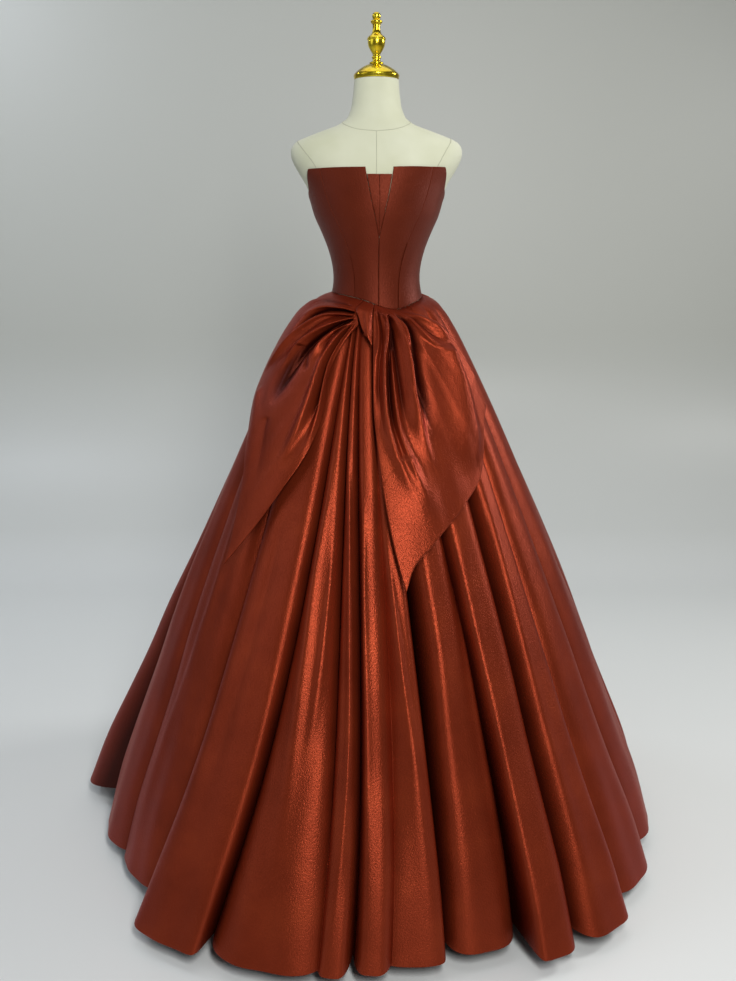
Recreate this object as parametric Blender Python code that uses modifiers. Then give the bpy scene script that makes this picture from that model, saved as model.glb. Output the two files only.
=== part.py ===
"""Ball gown of satin on its limbless dress form: strapless bodice, pleated skirt, and a drape
knotted left of the centre front. Metres, +Z up, the front faces -Y, the base rests on z = 0.

Azimuths are in degrees from the front, positive toward +X, and go round the upright axis of
the form. The bodice follows the form's own surface, moved out. The skirt and the drapes share
one chart of azimuth and nominal height, so each layer clears the one under it."""

import math

import bmesh
import bpy
import numpy as np

# Driving sizes

SEAM_GAP = 0.0003
CLOTH_GAP = 0.0014
BODICE_WALL = 0.0022
INSERT_WALL = 0.0014
SKIRT_WALL = 0.0020
DRAPE_WALL = 0.0024
KNOT_WALL = 0.0030
KNOT_LIFT = 0.0150
WAIST_HEIGHT = 1.245
HEM_HEIGHT = 0.034
FORM_FOOT = 0.965
NECK_TOP = 1.708
FINIAL_TOP = 1.845
BASE_RADIUS = 0.175
BASE_THICKNESS = 0.008
POLE_RADIUS = 0.0165
DRESSED_FOOT = 1.215
DRESSED_TOP = 1.525
FORM_SIDES = 36
COLLAR_RADIUS = 0.032
INSERT_TOP = 1.505
INSERT_POINT = 1.375
INSERT_HALF_WIDTH = 12.6
FRONT_TURN = 3.0
SLIDER_SIZE = (0.0060, 0.0026, 0.0090)
LUG_SIZE = (0.0011, 0.0042, 0.0042)
LUG_OFFSET = 0.0018
PIN_RADIUS = 0.0007
EYE_RADIUS = 0.0017
EYE_HOLE = 0.00078
EYE_WIDTH = 0.0020
TAB_SIZE = (0.0048, 0.0011, 0.0190)
ZIP_DROP = 0.012

# Sections of the dress form: height, half width, depth in front, depth behind

FORM_SECTIONS = (
    (0.965, 0.160, 0.120, 0.128),
    (1.010, 0.166, 0.123, 0.134),
    (1.060, 0.163, 0.120, 0.131),
    (1.120, 0.149, 0.112, 0.119),
    (1.180, 0.126, 0.100, 0.102),
    (1.230, 0.105, 0.091, 0.087),
    (1.260, 0.0960, 0.0875, 0.0810),
    (1.287, 0.0922, 0.0865, 0.0785),
    (1.322, 0.0950, 0.0900, 0.0795),
    (1.356, 0.1040, 0.0990, 0.0830),
    (1.390, 0.1175, 0.1110, 0.0880),
    (1.424, 0.1325, 0.1225, 0.0930),
    (1.458, 0.1425, 0.1265, 0.0975),
    (1.490, 0.1542, 0.1230, 0.1010),
    (1.515, 0.1692, 0.1160, 0.1030),
    (1.535, 0.1802, 0.1088, 0.1030),
    (1.555, 0.1860, 0.0990, 0.1000),
    (1.570, 0.1830, 0.0910, 0.0950),
    (1.580, 0.1740, 0.0850, 0.0900),
    (1.592, 0.1460, 0.0775, 0.0830),
    (1.602, 0.1190, 0.0710, 0.0770),
    (1.613, 0.0880, 0.0645, 0.0710),
    (1.625, 0.0680, 0.0590, 0.0640),
    (1.642, 0.0575, 0.0545, 0.0570),
    (1.672, 0.0510, 0.0500, 0.0510),
    (1.708, 0.0475, 0.0475, 0.0475),
)

# Edges of the bodice: azimuth, height of its top, height of its waist seam

BODICE_EDGES = (
    (-180, 1.462, 1.262),
    (-120, 1.462, 1.262),
    (-88, 1.463, 1.262),
    (-76, 1.478, 1.261),
    (-66, 1.519, 1.259),
    (-40, 1.520, 1.254),
    (-15, 1.520, 1.2445),
    (0, 1.520, 1.2355),
    (12, 1.520, 1.2290),
    (24, 1.521, 1.2260),
    (38, 1.522, 1.2305),
    (52, 1.522, 1.2385),
    (66, 1.523, 1.2445),
    (76, 1.480, 1.2485),
    (88, 1.463, 1.2530),
    (120, 1.462, 1.2600),
    (180, 1.462, 1.262),
)

# Seams of one bodice half: share of the height, azimuths of the princess, side and back seams

BODICE_SEAMS = (
    (0.00, 30.0, 88.0, 140.0),
    (0.25, 33.0, 89.0, 143.0),
    (0.50, 39.0, 90.0, 146.0),
    (0.72, 47.0, 91.0, 149.0),
    (0.88, 52.0, 91.0, 150.0),
    (1.00, 54.0, 91.0, 150.0),
)

# Spread of the skirt: nominal height, radius of its crests before each fold's own reach

SKIRT_SPREAD = (
    (1.245, 0.101),
    (1.241, 0.114),
    (1.234, 0.130),
    (1.216, 0.149),
    (1.181, 0.173),
    (1.121, 0.206),
    (1.064, 0.235),
    (1.007, 0.263),
    (0.892, 0.317),
    (0.775, 0.370),
    (0.655, 0.423),
    (0.533, 0.474),
    (0.409, 0.522),
    (0.282, 0.574),
    (0.153, 0.626),
    (0.034, 0.664),
)

# Valleys between the skirt's folds, and the fold on each one's right side: name, azimuths at the
# waist, at mid height and at the hem, depths there, lean over the valley in degrees (positive
# when the right fold laps left), reach of the right fold at the hem as a share of the spread

SKIRT_FOLDS = (
    ("centre_back", -180, -180, -180, 0.008, 0.036, 0.085, 0.0, 1.060),
    ("back_left_1", -160, -161, -163, 0.007, 0.030, 0.062, 1.2, 1.020),
    ("back_left_2", -141, -143, -146, 0.008, 0.040, 0.085, -1.2, 1.070),
    ("back_left_3", -124, -126, -131, 0.006, 0.026, 0.050, 1.4, 1.040),
    ("side_left", -108, -110, -115, 0.008, 0.040, 0.080, -1.0, 1.125),
    ("left_1", -90, -90, -90.5, 0.006, 0.022, 0.034, 1.0, 0.965),
    ("left_2", -71, -66, -66, 0.006, 0.016, 0.014, 1.2, 0.940),
    ("left_3", -46, -41.5, -46.5, 0.006, 0.022, 0.034, 2.0, 1.085),
    ("front_left", -20, -21, -29.0, 0.010, 0.055, 0.115, -3.2, 1.050),
    ("twin_ridges", -17, -10.5, -9.5, 0.005, 0.018, 0.008, 0.0, 1.045),
    ("slit", -9, -5.0, -4, 0.003, 0.012, 0.014, 0.0, 1.030),
    ("centre", -4, 1.6, 2.2, 0.006, 0.028, 0.042, -0.6, 0.965),
    ("inner_right", 3, 9.6, 12.0, 0.008, 0.036, 0.052, -0.6, 0.975),
    ("lapped_right", 18, 24, 26.0, 0.008, 0.030, 0.065, 2.8, 1.080),
    ("front_right", 40, 37.5, 34.5, 0.010, 0.050, 0.095, 0.4, 1.075),
    ("right_1", 54, 48.5, 48.5, 0.008, 0.022, 0.028, -0.8, 1.020),
    ("right_2", 68, 64, 68.5, 0.006, 0.022, 0.045, -0.8, 0.990),
    ("side_right", 97, 94, 98, 0.008, 0.038, 0.070, 1.0, 1.030),
    ("back_right_3", 112, 112, 114, 0.006, 0.026, 0.052, -1.2, 1.060),
    ("back_right_2", 128, 127, 131, 0.008, 0.040, 0.085, 1.2, 1.020),
    ("back_right_1", 146, 147, 147, 0.006, 0.028, 0.058, 1.0, 1.070),
    ("back_centre_right", 164, 163, 164, 0.008, 0.036, 0.072, -1.2, 1.040),
)

# Panels of the skirt, each from one seam valley to the next

SKIRT_PANELS = (
    ("skirt_back_left", "centre_back", "side_left"),
    ("skirt_side_left", "side_left", "front_left"),
    ("skirt_front", "front_left", "front_right"),
    ("skirt_side_right", "front_right", "side_right"),
    ("skirt_back_right", "side_right", "centre_back"),
)

SKIRT_FALLS = (0, 0.004, 0.014, 0.038, 0.085, 0.16, 0.27, 0.40, 0.54, 0.69, 0.85, 1)
FOLD_STEPS = (0.0, 0.07, 0.20, 0.40, 0.60, 0.80, 0.93)

# Outlines of the drapes on the skirt's chart: azimuth, nominal height

LEFT_ROOT = ((-17, 1.2450), (-16, 1.228), (-14, 1.212), (-12.5, 1.200))
LEFT_UPPER = (
    (-17, 1.2450),
    (-24, 1.2450),
    (-44, 1.2450),
    (-56, 1.2440),
    (-70, 1.2290),
    (-84, 1.1970),
    (-91, 1.1500),
    (-90, 1.1000),
)
LEFT_LOWER = (
    (-12.5, 1.200),
    (-18.8, 1.168),
    (-23.0, 1.128),
    (-24.0, 1.084),
    (-23.0, 1.036),
    (-23.7, 0.993),
    (-26.7, 0.939),
    (-32.6, 0.871),
    (-38.5, 0.800),
    (-46.9, 0.708),
)
LEFT_END = (
    (-90, 1.100),
    (-82, 1.055),
    (-69, 1.000),
    (-59, 0.945),
    (-53, 0.898),
    (-49.5, 0.820),
    (-47.1, 0.745),
    (-46.9, 0.708),
)
RIGHT_ROOT = ((-2.6, 1.245), (5, 1.245), (12, 1.245), (20, 1.245), (27, 1.245))
RIGHT_INNER = (
    (-2.6, 1.245),
    (-2.2, 1.170),
    (-1.8, 1.100),
    (-1.2, 1.030),
    (0.9, 0.943),
    (3.2, 0.845),
    (5.7, 0.760),
    (7.7, 0.703),
)
RIGHT_OUTER = (
    (27, 1.245),
    (33, 1.237),
    (40, 1.221),
    (46.5, 1.196),
    (50, 1.168),
    (53.5, 1.105),
    (57.3, 1.032),
)
RIGHT_END = (
    (7.7, 0.703),
    (10.9, 0.752),
    (16.2, 0.786),
    (22.6, 0.822),
    (28.9, 0.853),
    (38.6, 0.900),
    (45.1, 0.953),
    (50.5, 1.000),
    (57.3, 1.032),
)

# Folds that fan out of the roots: place across at the root and at the end, half width there,
# height, share of the length where it is highest, share where it ends

LEFT_FOLDS = (
    (0.06, 0.02, 0.10, 0.017, 0.35, 0.95),
    (0.22, 0.16, 0.07, 0.015, 0.32, 0.90),
    (0.40, 0.33, 0.06, 0.012, 0.28, 0.75),
    (0.60, 0.52, 0.06, 0.013, 0.30, 0.90),
    (0.78, 0.72, 0.06, 0.010, 0.25, 0.85),
    (0.94, 0.93, 0.05, 0.007, 0.30, 1.10),
)
RIGHT_FOLDS = (
    (0.05, 0.06, 0.05, 0.008, 0.30, 1.10),
    (0.22, 0.24, 0.06, 0.014, 0.35, 1.00),
    (0.38, 0.36, 0.05, 0.012, 0.22, 0.55),
    (0.52, 0.50, 0.06, 0.013, 0.30, 0.80),
    (0.68, 0.66, 0.05, 0.009, 0.18, 0.45),
    (0.86, 0.86, 0.09, 0.014, 0.40, 1.00),
)

KNOT_LEFT = ((-16.4, 1.2445), (-15.8, 1.2390), (-16.4, 1.230), (-13, 1.214), (-9.5, 1.192))
KNOT_RIGHT = ((-3.1, 1.2445), (-2.8, 1.217), (-2.4, 1.190), (-2.6, 1.165))

# Materials: name, base colour in linear light, roughness, metallic

MATERIALS = {
    "satin": ((0.130, 0.030, 0.016), 0.32, 0.0),
    "satin_dark": ((0.070, 0.016, 0.010), 0.40, 0.0),
    "form_cloth": ((0.560, 0.550, 0.440), 0.85, 0.0),
    "gilt": ((0.420, 0.270, 0.060), 0.28, 1.0),
    "painted_steel": ((0.050, 0.050, 0.050), 0.45, 0.0),
    "board": ((0.300, 0.180, 0.090), 0.60, 0.0),
    "zip_metal": ((0.110, 0.035, 0.022), 0.40, 0.6),
}


# Scene and materials


def clear_scene():
    """Empties the scene of every object and collection."""
    for item in list(bpy.data.objects):
        bpy.data.objects.remove(item, do_unlink=True)
    for group in list(bpy.data.collections):
        bpy.data.collections.remove(group)


def new_collection(name, rendered=True):
    group = bpy.data.collections.new(name)
    group.hide_render = not rendered
    bpy.context.scene.collection.children.link(group)
    return group


def material(node, kind):
    """A Principled material of one of the kinds, named for its node."""
    colour, roughness, metallic = MATERIALS[kind]
    made = bpy.data.materials.new(f"{node}_{kind}")
    made.use_nodes = True
    shader = made.node_tree.nodes["Principled BSDF"]
    shader.inputs["Base Color"].default_value = (*colour, 1.0)
    shader.inputs["Roughness"].default_value = roughness
    shader.inputs["Metallic"].default_value = metallic
    return made


def body(name, kind, points, faces, smooth=True):
    """One closed mesh object with its faces turned outward."""
    mesh = bpy.data.meshes.new(name)
    mesh.from_pydata([tuple(map(float, p)) for p in points], [], faces)
    work = bmesh.new()
    work.from_mesh(mesh)
    bmesh.ops.recalc_face_normals(work, faces=work.faces)
    work.to_mesh(mesh)
    work.free()
    mesh.materials.append(material(name, kind))
    for face in mesh.polygons:
        face.use_smooth = smooth
    made = bpy.data.objects.new(name, mesh)
    PARTS.objects.link(made)
    return made


def turned(name, kind, profile, steps):
    """A solid of revolution from a profile of (radius, height), read from top to bottom."""
    mesh = bpy.data.meshes.new(name)
    points = [(r, 0.0, z) for r, z in profile]
    mesh.from_pydata(points, [(i, i + 1) for i in range(len(points) - 1)], [])
    mesh.materials.append(material(name, kind))
    made = bpy.data.objects.new(name, mesh)
    PARTS.objects.link(made)
    screw = made.modifiers.new("turn", "SCREW")
    screw.steps = steps
    screw.render_steps = steps
    screw.use_merge_vertices = True
    screw.merge_threshold = 0.0001
    screw.use_smooth_shade = True
    return made


# Curves through tables


def smooth_through(xs, ys, x):
    """A Catmull-Rom curve through the points of a table, read at x."""
    xs = np.asarray(xs, float)
    ys = np.asarray(ys, float)
    x = np.clip(np.asarray(x, float), xs[0], xs[-1])
    slope = np.gradient(ys, xs)
    i = np.clip(np.searchsorted(xs, x, side="right") - 1, 0, len(xs) - 2)
    step = xs[i + 1] - xs[i]
    t = (x - xs[i]) / step
    ends = ys[i] * (1 + 2 * t) * (1 - t) ** 2 + ys[i + 1] * t * t * (3 - 2 * t)
    return ends + step * (slope[i] * t * (1 - t) ** 2 - slope[i + 1] * t * t * (1 - t))


def column(table, index):
    return [row[index] for row in table]


def outline(table, share):
    """Points of a chart outline at shares of its length, which counts 1 degree as 4 mm."""
    points = np.array(table, float)
    legs = np.hypot(np.diff(points[:, 0]) * 0.004, np.diff(points[:, 1]))
    along = np.concatenate([[0], np.cumsum(legs)]) / legs.sum()
    return np.stack([smooth_through(along, points[:, k], share) for k in (0, 1)], axis=-1)


def direction(azimuth):
    a = np.radians(azimuth)
    return np.sin(a), -np.cos(a)


def place(azimuth, radius, height):
    """World points from azimuth, radius and height, which broadcast together."""
    azimuth, radius, height = np.broadcast_arrays(azimuth, radius, height)
    x, y = direction(azimuth)
    return np.stack([radius * x, radius * y, height], axis=-1)


# The dress form's surface


def form_radius(azimuth, height):
    """Radius of the form's section, an ellipse that is deeper or shallower behind."""
    heights = column(FORM_SECTIONS, 0)
    wide = smooth_through(heights, column(FORM_SECTIONS, 1), height)
    front = smooth_through(heights, column(FORM_SECTIONS, 2), height)
    back = smooth_through(heights, column(FORM_SECTIONS, 3), height)
    x, y = direction(azimuth)
    deep = np.where(y < 0, front, back)
    return 1 / np.sqrt((x / wide) ** 2 + (y / deep) ** 2)


def edge_heights(azimuth):
    """Heights of the bodice's top edge and waist seam at an azimuth."""
    turn = (np.asarray(azimuth, float) + 180) % 360 - 180
    tops = np.interp(turn, column(BODICE_EDGES, 0), column(BODICE_EDGES, 1))
    waist = smooth_through(column(BODICE_EDGES, 0), column(BODICE_EDGES, 2), turn)
    return tops, waist


# The skirt's surface


def fold_rows():
    """The fold table with the first valley again at the end, one turn on."""
    first = SKIRT_FOLDS[0]
    again = (first[0], first[1] + 360, first[2] + 360, first[3] + 360) + first[4:]
    return SKIRT_FOLDS + (again,)


def by_fall(top, middle, hem, fall):
    """A parabola through the values at the waist, at mid height and at the hem."""
    low = (fall - 0.45) * (fall - 1) / 0.45
    mid = fall * (fall - 1) / (0.45 * (0.45 - 1))
    high = fall * (fall - 0.45) / 0.55
    return top * low + middle * mid + hem * high


def spread(fall, azimuth):
    """Radius of the skirt without folds: the waist seam's own oval above, a circle below."""
    height = WAIST_HEIGHT - fall * (WAIST_HEIGHT - HEM_HEIGHT)
    round_part = np.interp(height, column(SKIRT_SPREAD, 0)[::-1], column(SKIRT_SPREAD, 1)[::-1])
    seam = form_radius(azimuth, edge_heights(azimuth)[1]) + CLOTH_GAP + BODICE_WALL
    oval = (seam - SKIRT_SPREAD[0][1]) * np.exp(-fall * 14)
    return round_part + oval


def skirt_points(fold, across, fall):
    """Outer points of the skirt: fold and across number the folds, fall runs waist to hem."""
    rows = fold_rows()
    here, there = rows[fold], rows[fold + 1]
    before = rows[fold - 1] if fold else rows[-2]
    left = by_fall(*here[1:4], fall)
    right = by_fall(*there[1:4], fall)
    reach = 1 + (np.array([before[8], here[8], there[8]]) - 1) * fall
    lap_left = 0.45 * max(here[7], 0) * fall * np.sin(np.pi * min(across / 0.5, 1))
    lap_right = 0.45 * min(there[7], 0) * fall * np.sin(np.pi * min((1 - across) / 0.5, 1))
    azimuth = left + across * (right - left) - 2 * lap_left - 2 * lap_right
    size = spread(fall, azimuth)
    crest = size * reach[1]
    opening = min(fall / 0.03, 1)
    left_drop = crest - size * min(reach[0], reach[1]) + opening * by_fall(*here[4:7], fall)
    right_drop = crest - size * min(reach[1], reach[2]) + opening * by_fall(*there[4:7], fall)
    steep_left = (1.5 if here[7] < 0 else 2.2) + 1.5 * fall
    steep_right = (1.5 if there[7] > 0 else 2.2) + 1.5 * fall
    into_left = (1 - min(across / 0.5, 1)) ** steep_left
    into_right = (1 - min((1 - across) / 0.5, 1)) ** steep_right
    radius = crest - left_drop * into_left - right_drop * into_right
    top = edge_heights(azimuth)[1] - SEAM_GAP - covered(azimuth) * 0.004
    lift = 0.20 * (left_drop * into_left + right_drop * into_right)
    hem = HEM_HEIGHT + lift
    return azimuth, radius - covered(azimuth) * tucked(fall), top + (hem - top) * fall


def covered(azimuth):
    """1 where a drape lies over the skirt's top, fading to 0 beside it."""
    turn = (azimuth + 180) % 360 - 180
    return float(np.clip(min((turn + 60) / 3, (33 - turn) / 3), 0, 1))


def tucked(fall):
    """How far the skirt is drawn in below the waist to leave room for the drapes."""
    return 0.008 * math.exp(-fall * 22) * min(fall / 0.008, 1)


def wall(name, kind, outer, thickness, closed=False, square_rows=0):
    """A closed wall from a grid of outer points, moved in along the surface to the thickness.
    In the first square_rows rows its side edges stay upright planes through the axis."""
    rows, cols = outer.shape[:2]
    before = np.roll(outer, 1, axis=1)
    after = np.roll(outer, -1, axis=1)
    if not closed:
        before[:, 0] = 2 * outer[:, 0] - outer[:, 1]
        after[:, -1] = 2 * outer[:, -1] - outer[:, -2]
    down = np.gradient(outer, axis=0)
    normals = []
    for side in (outer - before, after - outer):
        n = np.cross(side, down)
        normals.append(n / np.linalg.norm(n, axis=-1, keepdims=True))
    mean = normals[0] + normals[1]
    mean /= np.linalg.norm(mean, axis=-1, keepdims=True)
    middle = outer.reshape(-1, 3).mean(axis=0)
    if np.sum(mean * (outer - [0, 0, middle[2]]) * [1, 1, 0]) < 0:
        mean = -mean
        normals = [-n for n in normals]
    for edge in (0, -1):
        about = np.cross(outer[:square_rows, edge], [0, 0, 1])
        about /= np.linalg.norm(about, axis=-1, keepdims=True)
        slant = np.sum(mean[:square_rows, edge] * about, axis=-1, keepdims=True)
        mean[:square_rows, edge] -= slant * about
    lean = np.clip(np.sum(mean * normals[0], axis=-1, keepdims=True), 0.45, 1)
    inner = outer - mean * thickness / lean
    points = np.concatenate([outer.reshape(-1, 3), inner.reshape(-1, 3)])
    return body(name, kind, points, wall_faces(rows, cols, closed))


def wall_faces(rows, cols, closed):
    """Quads of two matching grids and of the rim that joins them."""
    faces = []
    span = cols if closed else cols - 1
    skip = rows * cols
    for i in range(rows - 1):
        for j in range(span):
            k = (j + 1) % cols
            quad = (i * cols + j, i * cols + k, (i + 1) * cols + k, (i + 1) * cols + j)
            faces.append(quad)
            faces.append(tuple(skip + v for v in reversed(quad)))
    for i, turn in ((0, 1), (rows - 1, -1)):
        for j in range(span):
            k = (j + 1) % cols
            quad = (i * cols + j, skip + i * cols + j, skip + i * cols + k, i * cols + k)
            faces.append(quad[::turn])
    if not closed:
        for j, turn in ((0, -1), (cols - 1, 1)):
            for i in range(rows - 1):
                a, b = i * cols + j, (i + 1) * cols + j
                faces.append((a, skip + a, skip + b, b)[::turn])
    return faces


# Dress form


def build_form():
    upper = [row[0] for row in FORM_SECTIONS if row[0] > DRESSED_TOP]
    lower = [row[0] for row in FORM_SECTIONS if FORM_FOOT + 0.012 < row[0] < DRESSED_FOOT]
    dressed = list(np.linspace(DRESSED_FOOT, DRESSED_TOP, 17))
    heights = [FORM_FOOT + 0.012] + lower + dressed + upper
    count = FORM_SIDES
    turn = np.arange(count) * 360 / count
    grid = np.array([place(turn, form_radius(turn, z), z) for z in heights])
    points = grid.reshape(-1, 3)
    faces = []
    for i in range(len(heights) - 1):
        for j in range(count):
            k = (j + 1) % count
            faces.append((i * count + j, i * count + k, (i + 1) * count + k, (i + 1) * count + j))
    faces.append(tuple(reversed(range(count))))
    faces.append(tuple(range((len(heights) - 1) * count, len(heights) * count)))
    body("form_torso", "form_cloth", points, faces)
    edge = form_radius(turn, FORM_FOOT) - 0.004
    board = [place(turn, edge, z) for z in (FORM_FOOT, FORM_FOOT + 0.0117)]
    points = np.array(board).reshape(-1, 3)
    faces = [(j, (j + 1) % count, (j + 1) % count + count, j + count) for j in range(count)]
    faces += [tuple(reversed(range(count))), tuple(range(count, 2 * count))]
    body("form_bottom_board", "board", points, faces, smooth=False)


def arc(radius, middle, low, high, at, steps):
    """Profile points on a circle about (at, middle), from one angle to another."""
    angles = np.radians(np.linspace(high, low, steps))
    return [(at + radius * math.cos(a), middle + radius * math.sin(a)) for a in angles]


def build_finial():
    ball = [(0.0, FINIAL_TOP)] + arc(0.0088, FINIAL_TOP - 0.0088, -50, 70, 0.0, 7)
    stem = [
        (0.0060, 1.8285),
        (0.0115, 1.8275),
        (0.0120, 1.8245),
        (0.0100, 1.8215),
        (0.0078, 1.8180),
        (0.0080, 1.8060),
        (0.0120, 1.8000),
        (0.0165, 1.7940),
        (0.0188, 1.7870),
        (0.0175, 1.7790),
        (0.0120, 1.7680),
        (0.0080, 1.7580),
        (0.0082, 1.7480),
        (0.0140, 1.7420),
        (0.0175, 1.7385),
    ]
    cap = [
        (0.0320, 1.7350),
        (0.0430, 1.7290),
        (0.0478, 1.7215),
        (0.0485, 1.7150),
        (0.0480, NECK_TOP + SEAM_GAP),
        (0.0, NECK_TOP + SEAM_GAP),
    ]
    turned("form_finial", "gilt", ball + stem + cap, 16)


def build_stand():
    top = FORM_FOOT - SEAM_GAP
    low = BASE_THICKNESS + SEAM_GAP
    collar = [
        (0.0, top),
        (0.050, top),
        (0.050, top - 0.004),
        (COLLAR_RADIUS, top - 0.006),
        (COLLAR_RADIUS, top - 0.060),
        (POLE_RADIUS + 0.002, top - 0.064),
        (POLE_RADIUS, top - 0.066),
        (POLE_RADIUS, low + 0.040),
        (POLE_RADIUS + 0.004, low + 0.036),
        (COLLAR_RADIUS, low + 0.008),
        (COLLAR_RADIUS + 0.008, low),
        (0.0, low),
    ]
    turned("form_pole", "painted_steel", collar, 20)
    plate = [
        (0.0, BASE_THICKNESS),
        (BASE_RADIUS - 0.004, BASE_THICKNESS),
        (BASE_RADIUS, BASE_THICKNESS - 0.003),
        (BASE_RADIUS, 0.0),
        (0.0, 0.0),
    ]
    turned("form_base", "painted_steel", plate, 48)


# Bodice


def seam_azimuths(share):
    """Azimuths of the right half's seams at a share of the bodice's height."""
    shares = column(BODICE_SEAMS, 0)
    return [smooth_through(shares, column(BODICE_SEAMS, k), share) for k in (1, 2, 3)]


def insert_azimuth(height):
    """Half width of the V between the folded front edges, in degrees."""
    share = (height - INSERT_POINT) / (INSERT_TOP - INSERT_POINT)
    return INSERT_HALF_WIDTH * np.clip(share, 0, 1.1)


def panel_points(left_of, right_of, side, steps, columns, top_limit=None, low_limit=None):
    """Grid of (azimuth, height) between two seams, from the waist up, on one side."""
    grid = np.zeros((steps, columns, 2))
    for i, share in enumerate(np.linspace(0, 1, steps)):
        for j, across in enumerate(np.linspace(0, 1, columns)):
            azimuth = 40.0
            height = 1.4
            for _ in range(8):
                low, high = left_of(share, height), right_of(share, height)
                azimuth = low + (high - low) * across
                top, waist = edge_heights(side * azimuth)
                top = top if top_limit is None else top_limit
                waist = waist if low_limit is None else low_limit
                height = waist + (top - waist) * share
            grid[i, j] = side * azimuth, height
    return grid


def gap_degrees(azimuth, height):
    return np.degrees(0.5 * SEAM_GAP / form_radius(azimuth, height))


def bodice_panel(name, kind, grid, thickness):
    """A bodice wall over a grid of chart points, with half the seam gap taken off each side."""
    azimuth = grid[..., 0].copy()
    height = grid[..., 1]
    left, right = (0, -1) if azimuth[0, -1] > azimuth[0, 0] else (-1, 0)
    azimuth[:, left] += gap_degrees(azimuth[:, left], height[:, left])
    azimuth[:, right] -= gap_degrees(azimuth[:, right], height[:, right])
    radius = form_radius(azimuth, height) + CLOTH_GAP
    outer = place(azimuth, radius + thickness, height)
    inner = place(azimuth, radius, height)
    points = np.concatenate([outer.reshape(-1, 3), inner.reshape(-1, 3)])
    body(name, kind, points, wall_faces(*azimuth.shape, closed=False))


def build_bodice():
    for side, half in ((-1, "left"), (1, "right")):
        front = side * FRONT_TURN
        seams = [
            lambda share, height: front + insert_azimuth(height),
            lambda share, height: seam_azimuths(share)[0],
            lambda share, height: seam_azimuths(share)[1],
            lambda share, height: seam_azimuths(share)[2],
            lambda share, height: 180.0,
        ]
        labels = ("front", "side_front", "side_back", "back")
        for k, label in enumerate(labels):
            columns = (5, 7, 7, 5)[k]
            grid = panel_points(seams[k], seams[k + 1], side, 15, columns)
            bodice_panel(f"bodice_{label}_{half}", "satin_dark", grid, BODICE_WALL)
        grid = panel_points(
            lambda share, height: front,
            lambda share, height: front + insert_azimuth(height) * 0.985 - 0.05,
            side,
            8,
            4,
            top_limit=INSERT_TOP,
            low_limit=INSERT_POINT + 0.006,
        )
        bodice_panel(f"bodice_insert_{half}", "satin_dark", grid, INSERT_WALL)


# Skirt


def build_skirt():
    names = column(SKIRT_FOLDS, 0) + ["end"]
    for label, start, stop in SKIRT_PANELS:
        first = names.index(start)
        last = names.index(stop) if stop != "centre_back" else len(SKIRT_FOLDS)
        stations = [(fold, across) for fold in range(first, last) for across in FOLD_STEPS]
        stations.append((last - 1, 1.0))
        grid = []
        for fall in SKIRT_FALLS:
            rows = np.array([skirt_points(fold, across, fall) for fold, across in stations])
            half_gap = np.degrees(0.5 * SEAM_GAP / rows[[0, -1], 1]) * 1.2
            rows[0, 0] += half_gap[0]
            rows[-1, 0] -= half_gap[1]
            grid.append(place(rows[:, 0], rows[:, 1], rows[:, 2]))
        wall(label, "satin", np.array(grid), SKIRT_WALL, square_rows=5)


# Drapes and knot


def coons(root, end, first, last, across, along):
    """A chart point inside four outlines: across runs along the root, along runs away from it."""
    a, b = outline(root, across), outline(end, across)
    c, d = outline(first, along), outline(last, along)
    corners = [np.array(p, float) for p in (root[0], root[-1], end[0], end[-1])]
    ruled = a * (1 - along) + b * along + c * (1 - across) + d * across
    flat = (corners[0] * (1 - across) + corners[1] * across) * (1 - along)
    flat += (corners[2] * (1 - across) + corners[3] * across) * along
    return ruled - flat


def fold_lift(folds, across, along):
    """Height of the fan of folds over the drape's base surface."""
    lift = 0.0
    for at_root, at_end, width, height, peak, end in folds:
        middle = at_root + (at_end - at_root) * along
        shape = math.exp(-(((across - middle) / width) ** 2))
        rise = 0.25 + 0.75 * min(along / peak, 1) ** 0.8
        fade = 1 - min(max((along - peak) / (end - peak), 0), 1) ** 1.5
        lift += height * shape * rise * fade
    return lift


def fall_at(height):
    return (WAIST_HEIGHT - height) / (WAIST_HEIGHT - HEM_HEIGHT)


def drape_radius(azimuth, height):
    """Radius just clear of the skirt's crests at a nominal height."""
    fall = max(fall_at(height), 0)
    under_seam = BODICE_WALL * (1 - min(fall / 0.004, 1))
    clear = 0.0030 * min(fall / 0.012, 1)
    return float(spread(fall, azimuth)) * (1 + 0.09 * fall) + clear - under_seam


def hung(azimuth, radius, height):
    """World point of a drape: its nominal height counts down from the waist seam there."""
    top = edge_heights(azimuth)[1] - SEAM_GAP
    return place(azimuth, radius, top + (HEM_HEIGHT - top) * fall_at(height))


def build_drape(name, outlines, folds, puff, across_steps, along_steps):
    grid = []
    for along in np.linspace(0, 1, along_steps) ** 1.25:
        row = []
        for across in np.linspace(0, 1, across_steps):
            azimuth, height = coons(*outlines, across, along)
            height = min(height, WAIST_HEIGHT)
            folded = fold_lift(folds, across, along) * min(fall_at(height) / 0.01, 1)
            radius = drape_radius(azimuth, height) + folded
            edge = math.sin(math.pi * min(max(across, 0), 1)) ** 0.7
            radius += puff * edge * math.sin(math.pi * min(along * 0.9, 1))
            row.append(hung(azimuth, radius + DRAPE_WALL, height))
        grid.append(row)
    wall(name, "satin", np.array(grid), DRAPE_WALL)


def build_drapes():
    left = (LEFT_ROOT, LEFT_END, LEFT_UPPER, LEFT_LOWER)
    right = (RIGHT_ROOT, RIGHT_END, RIGHT_INNER, RIGHT_OUTER)
    build_drape("drape_left", left, LEFT_FOLDS, 0.006, 22, 12)
    build_drape("drape_right", right, RIGHT_FOLDS, 0.004, 22, 12)


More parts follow.
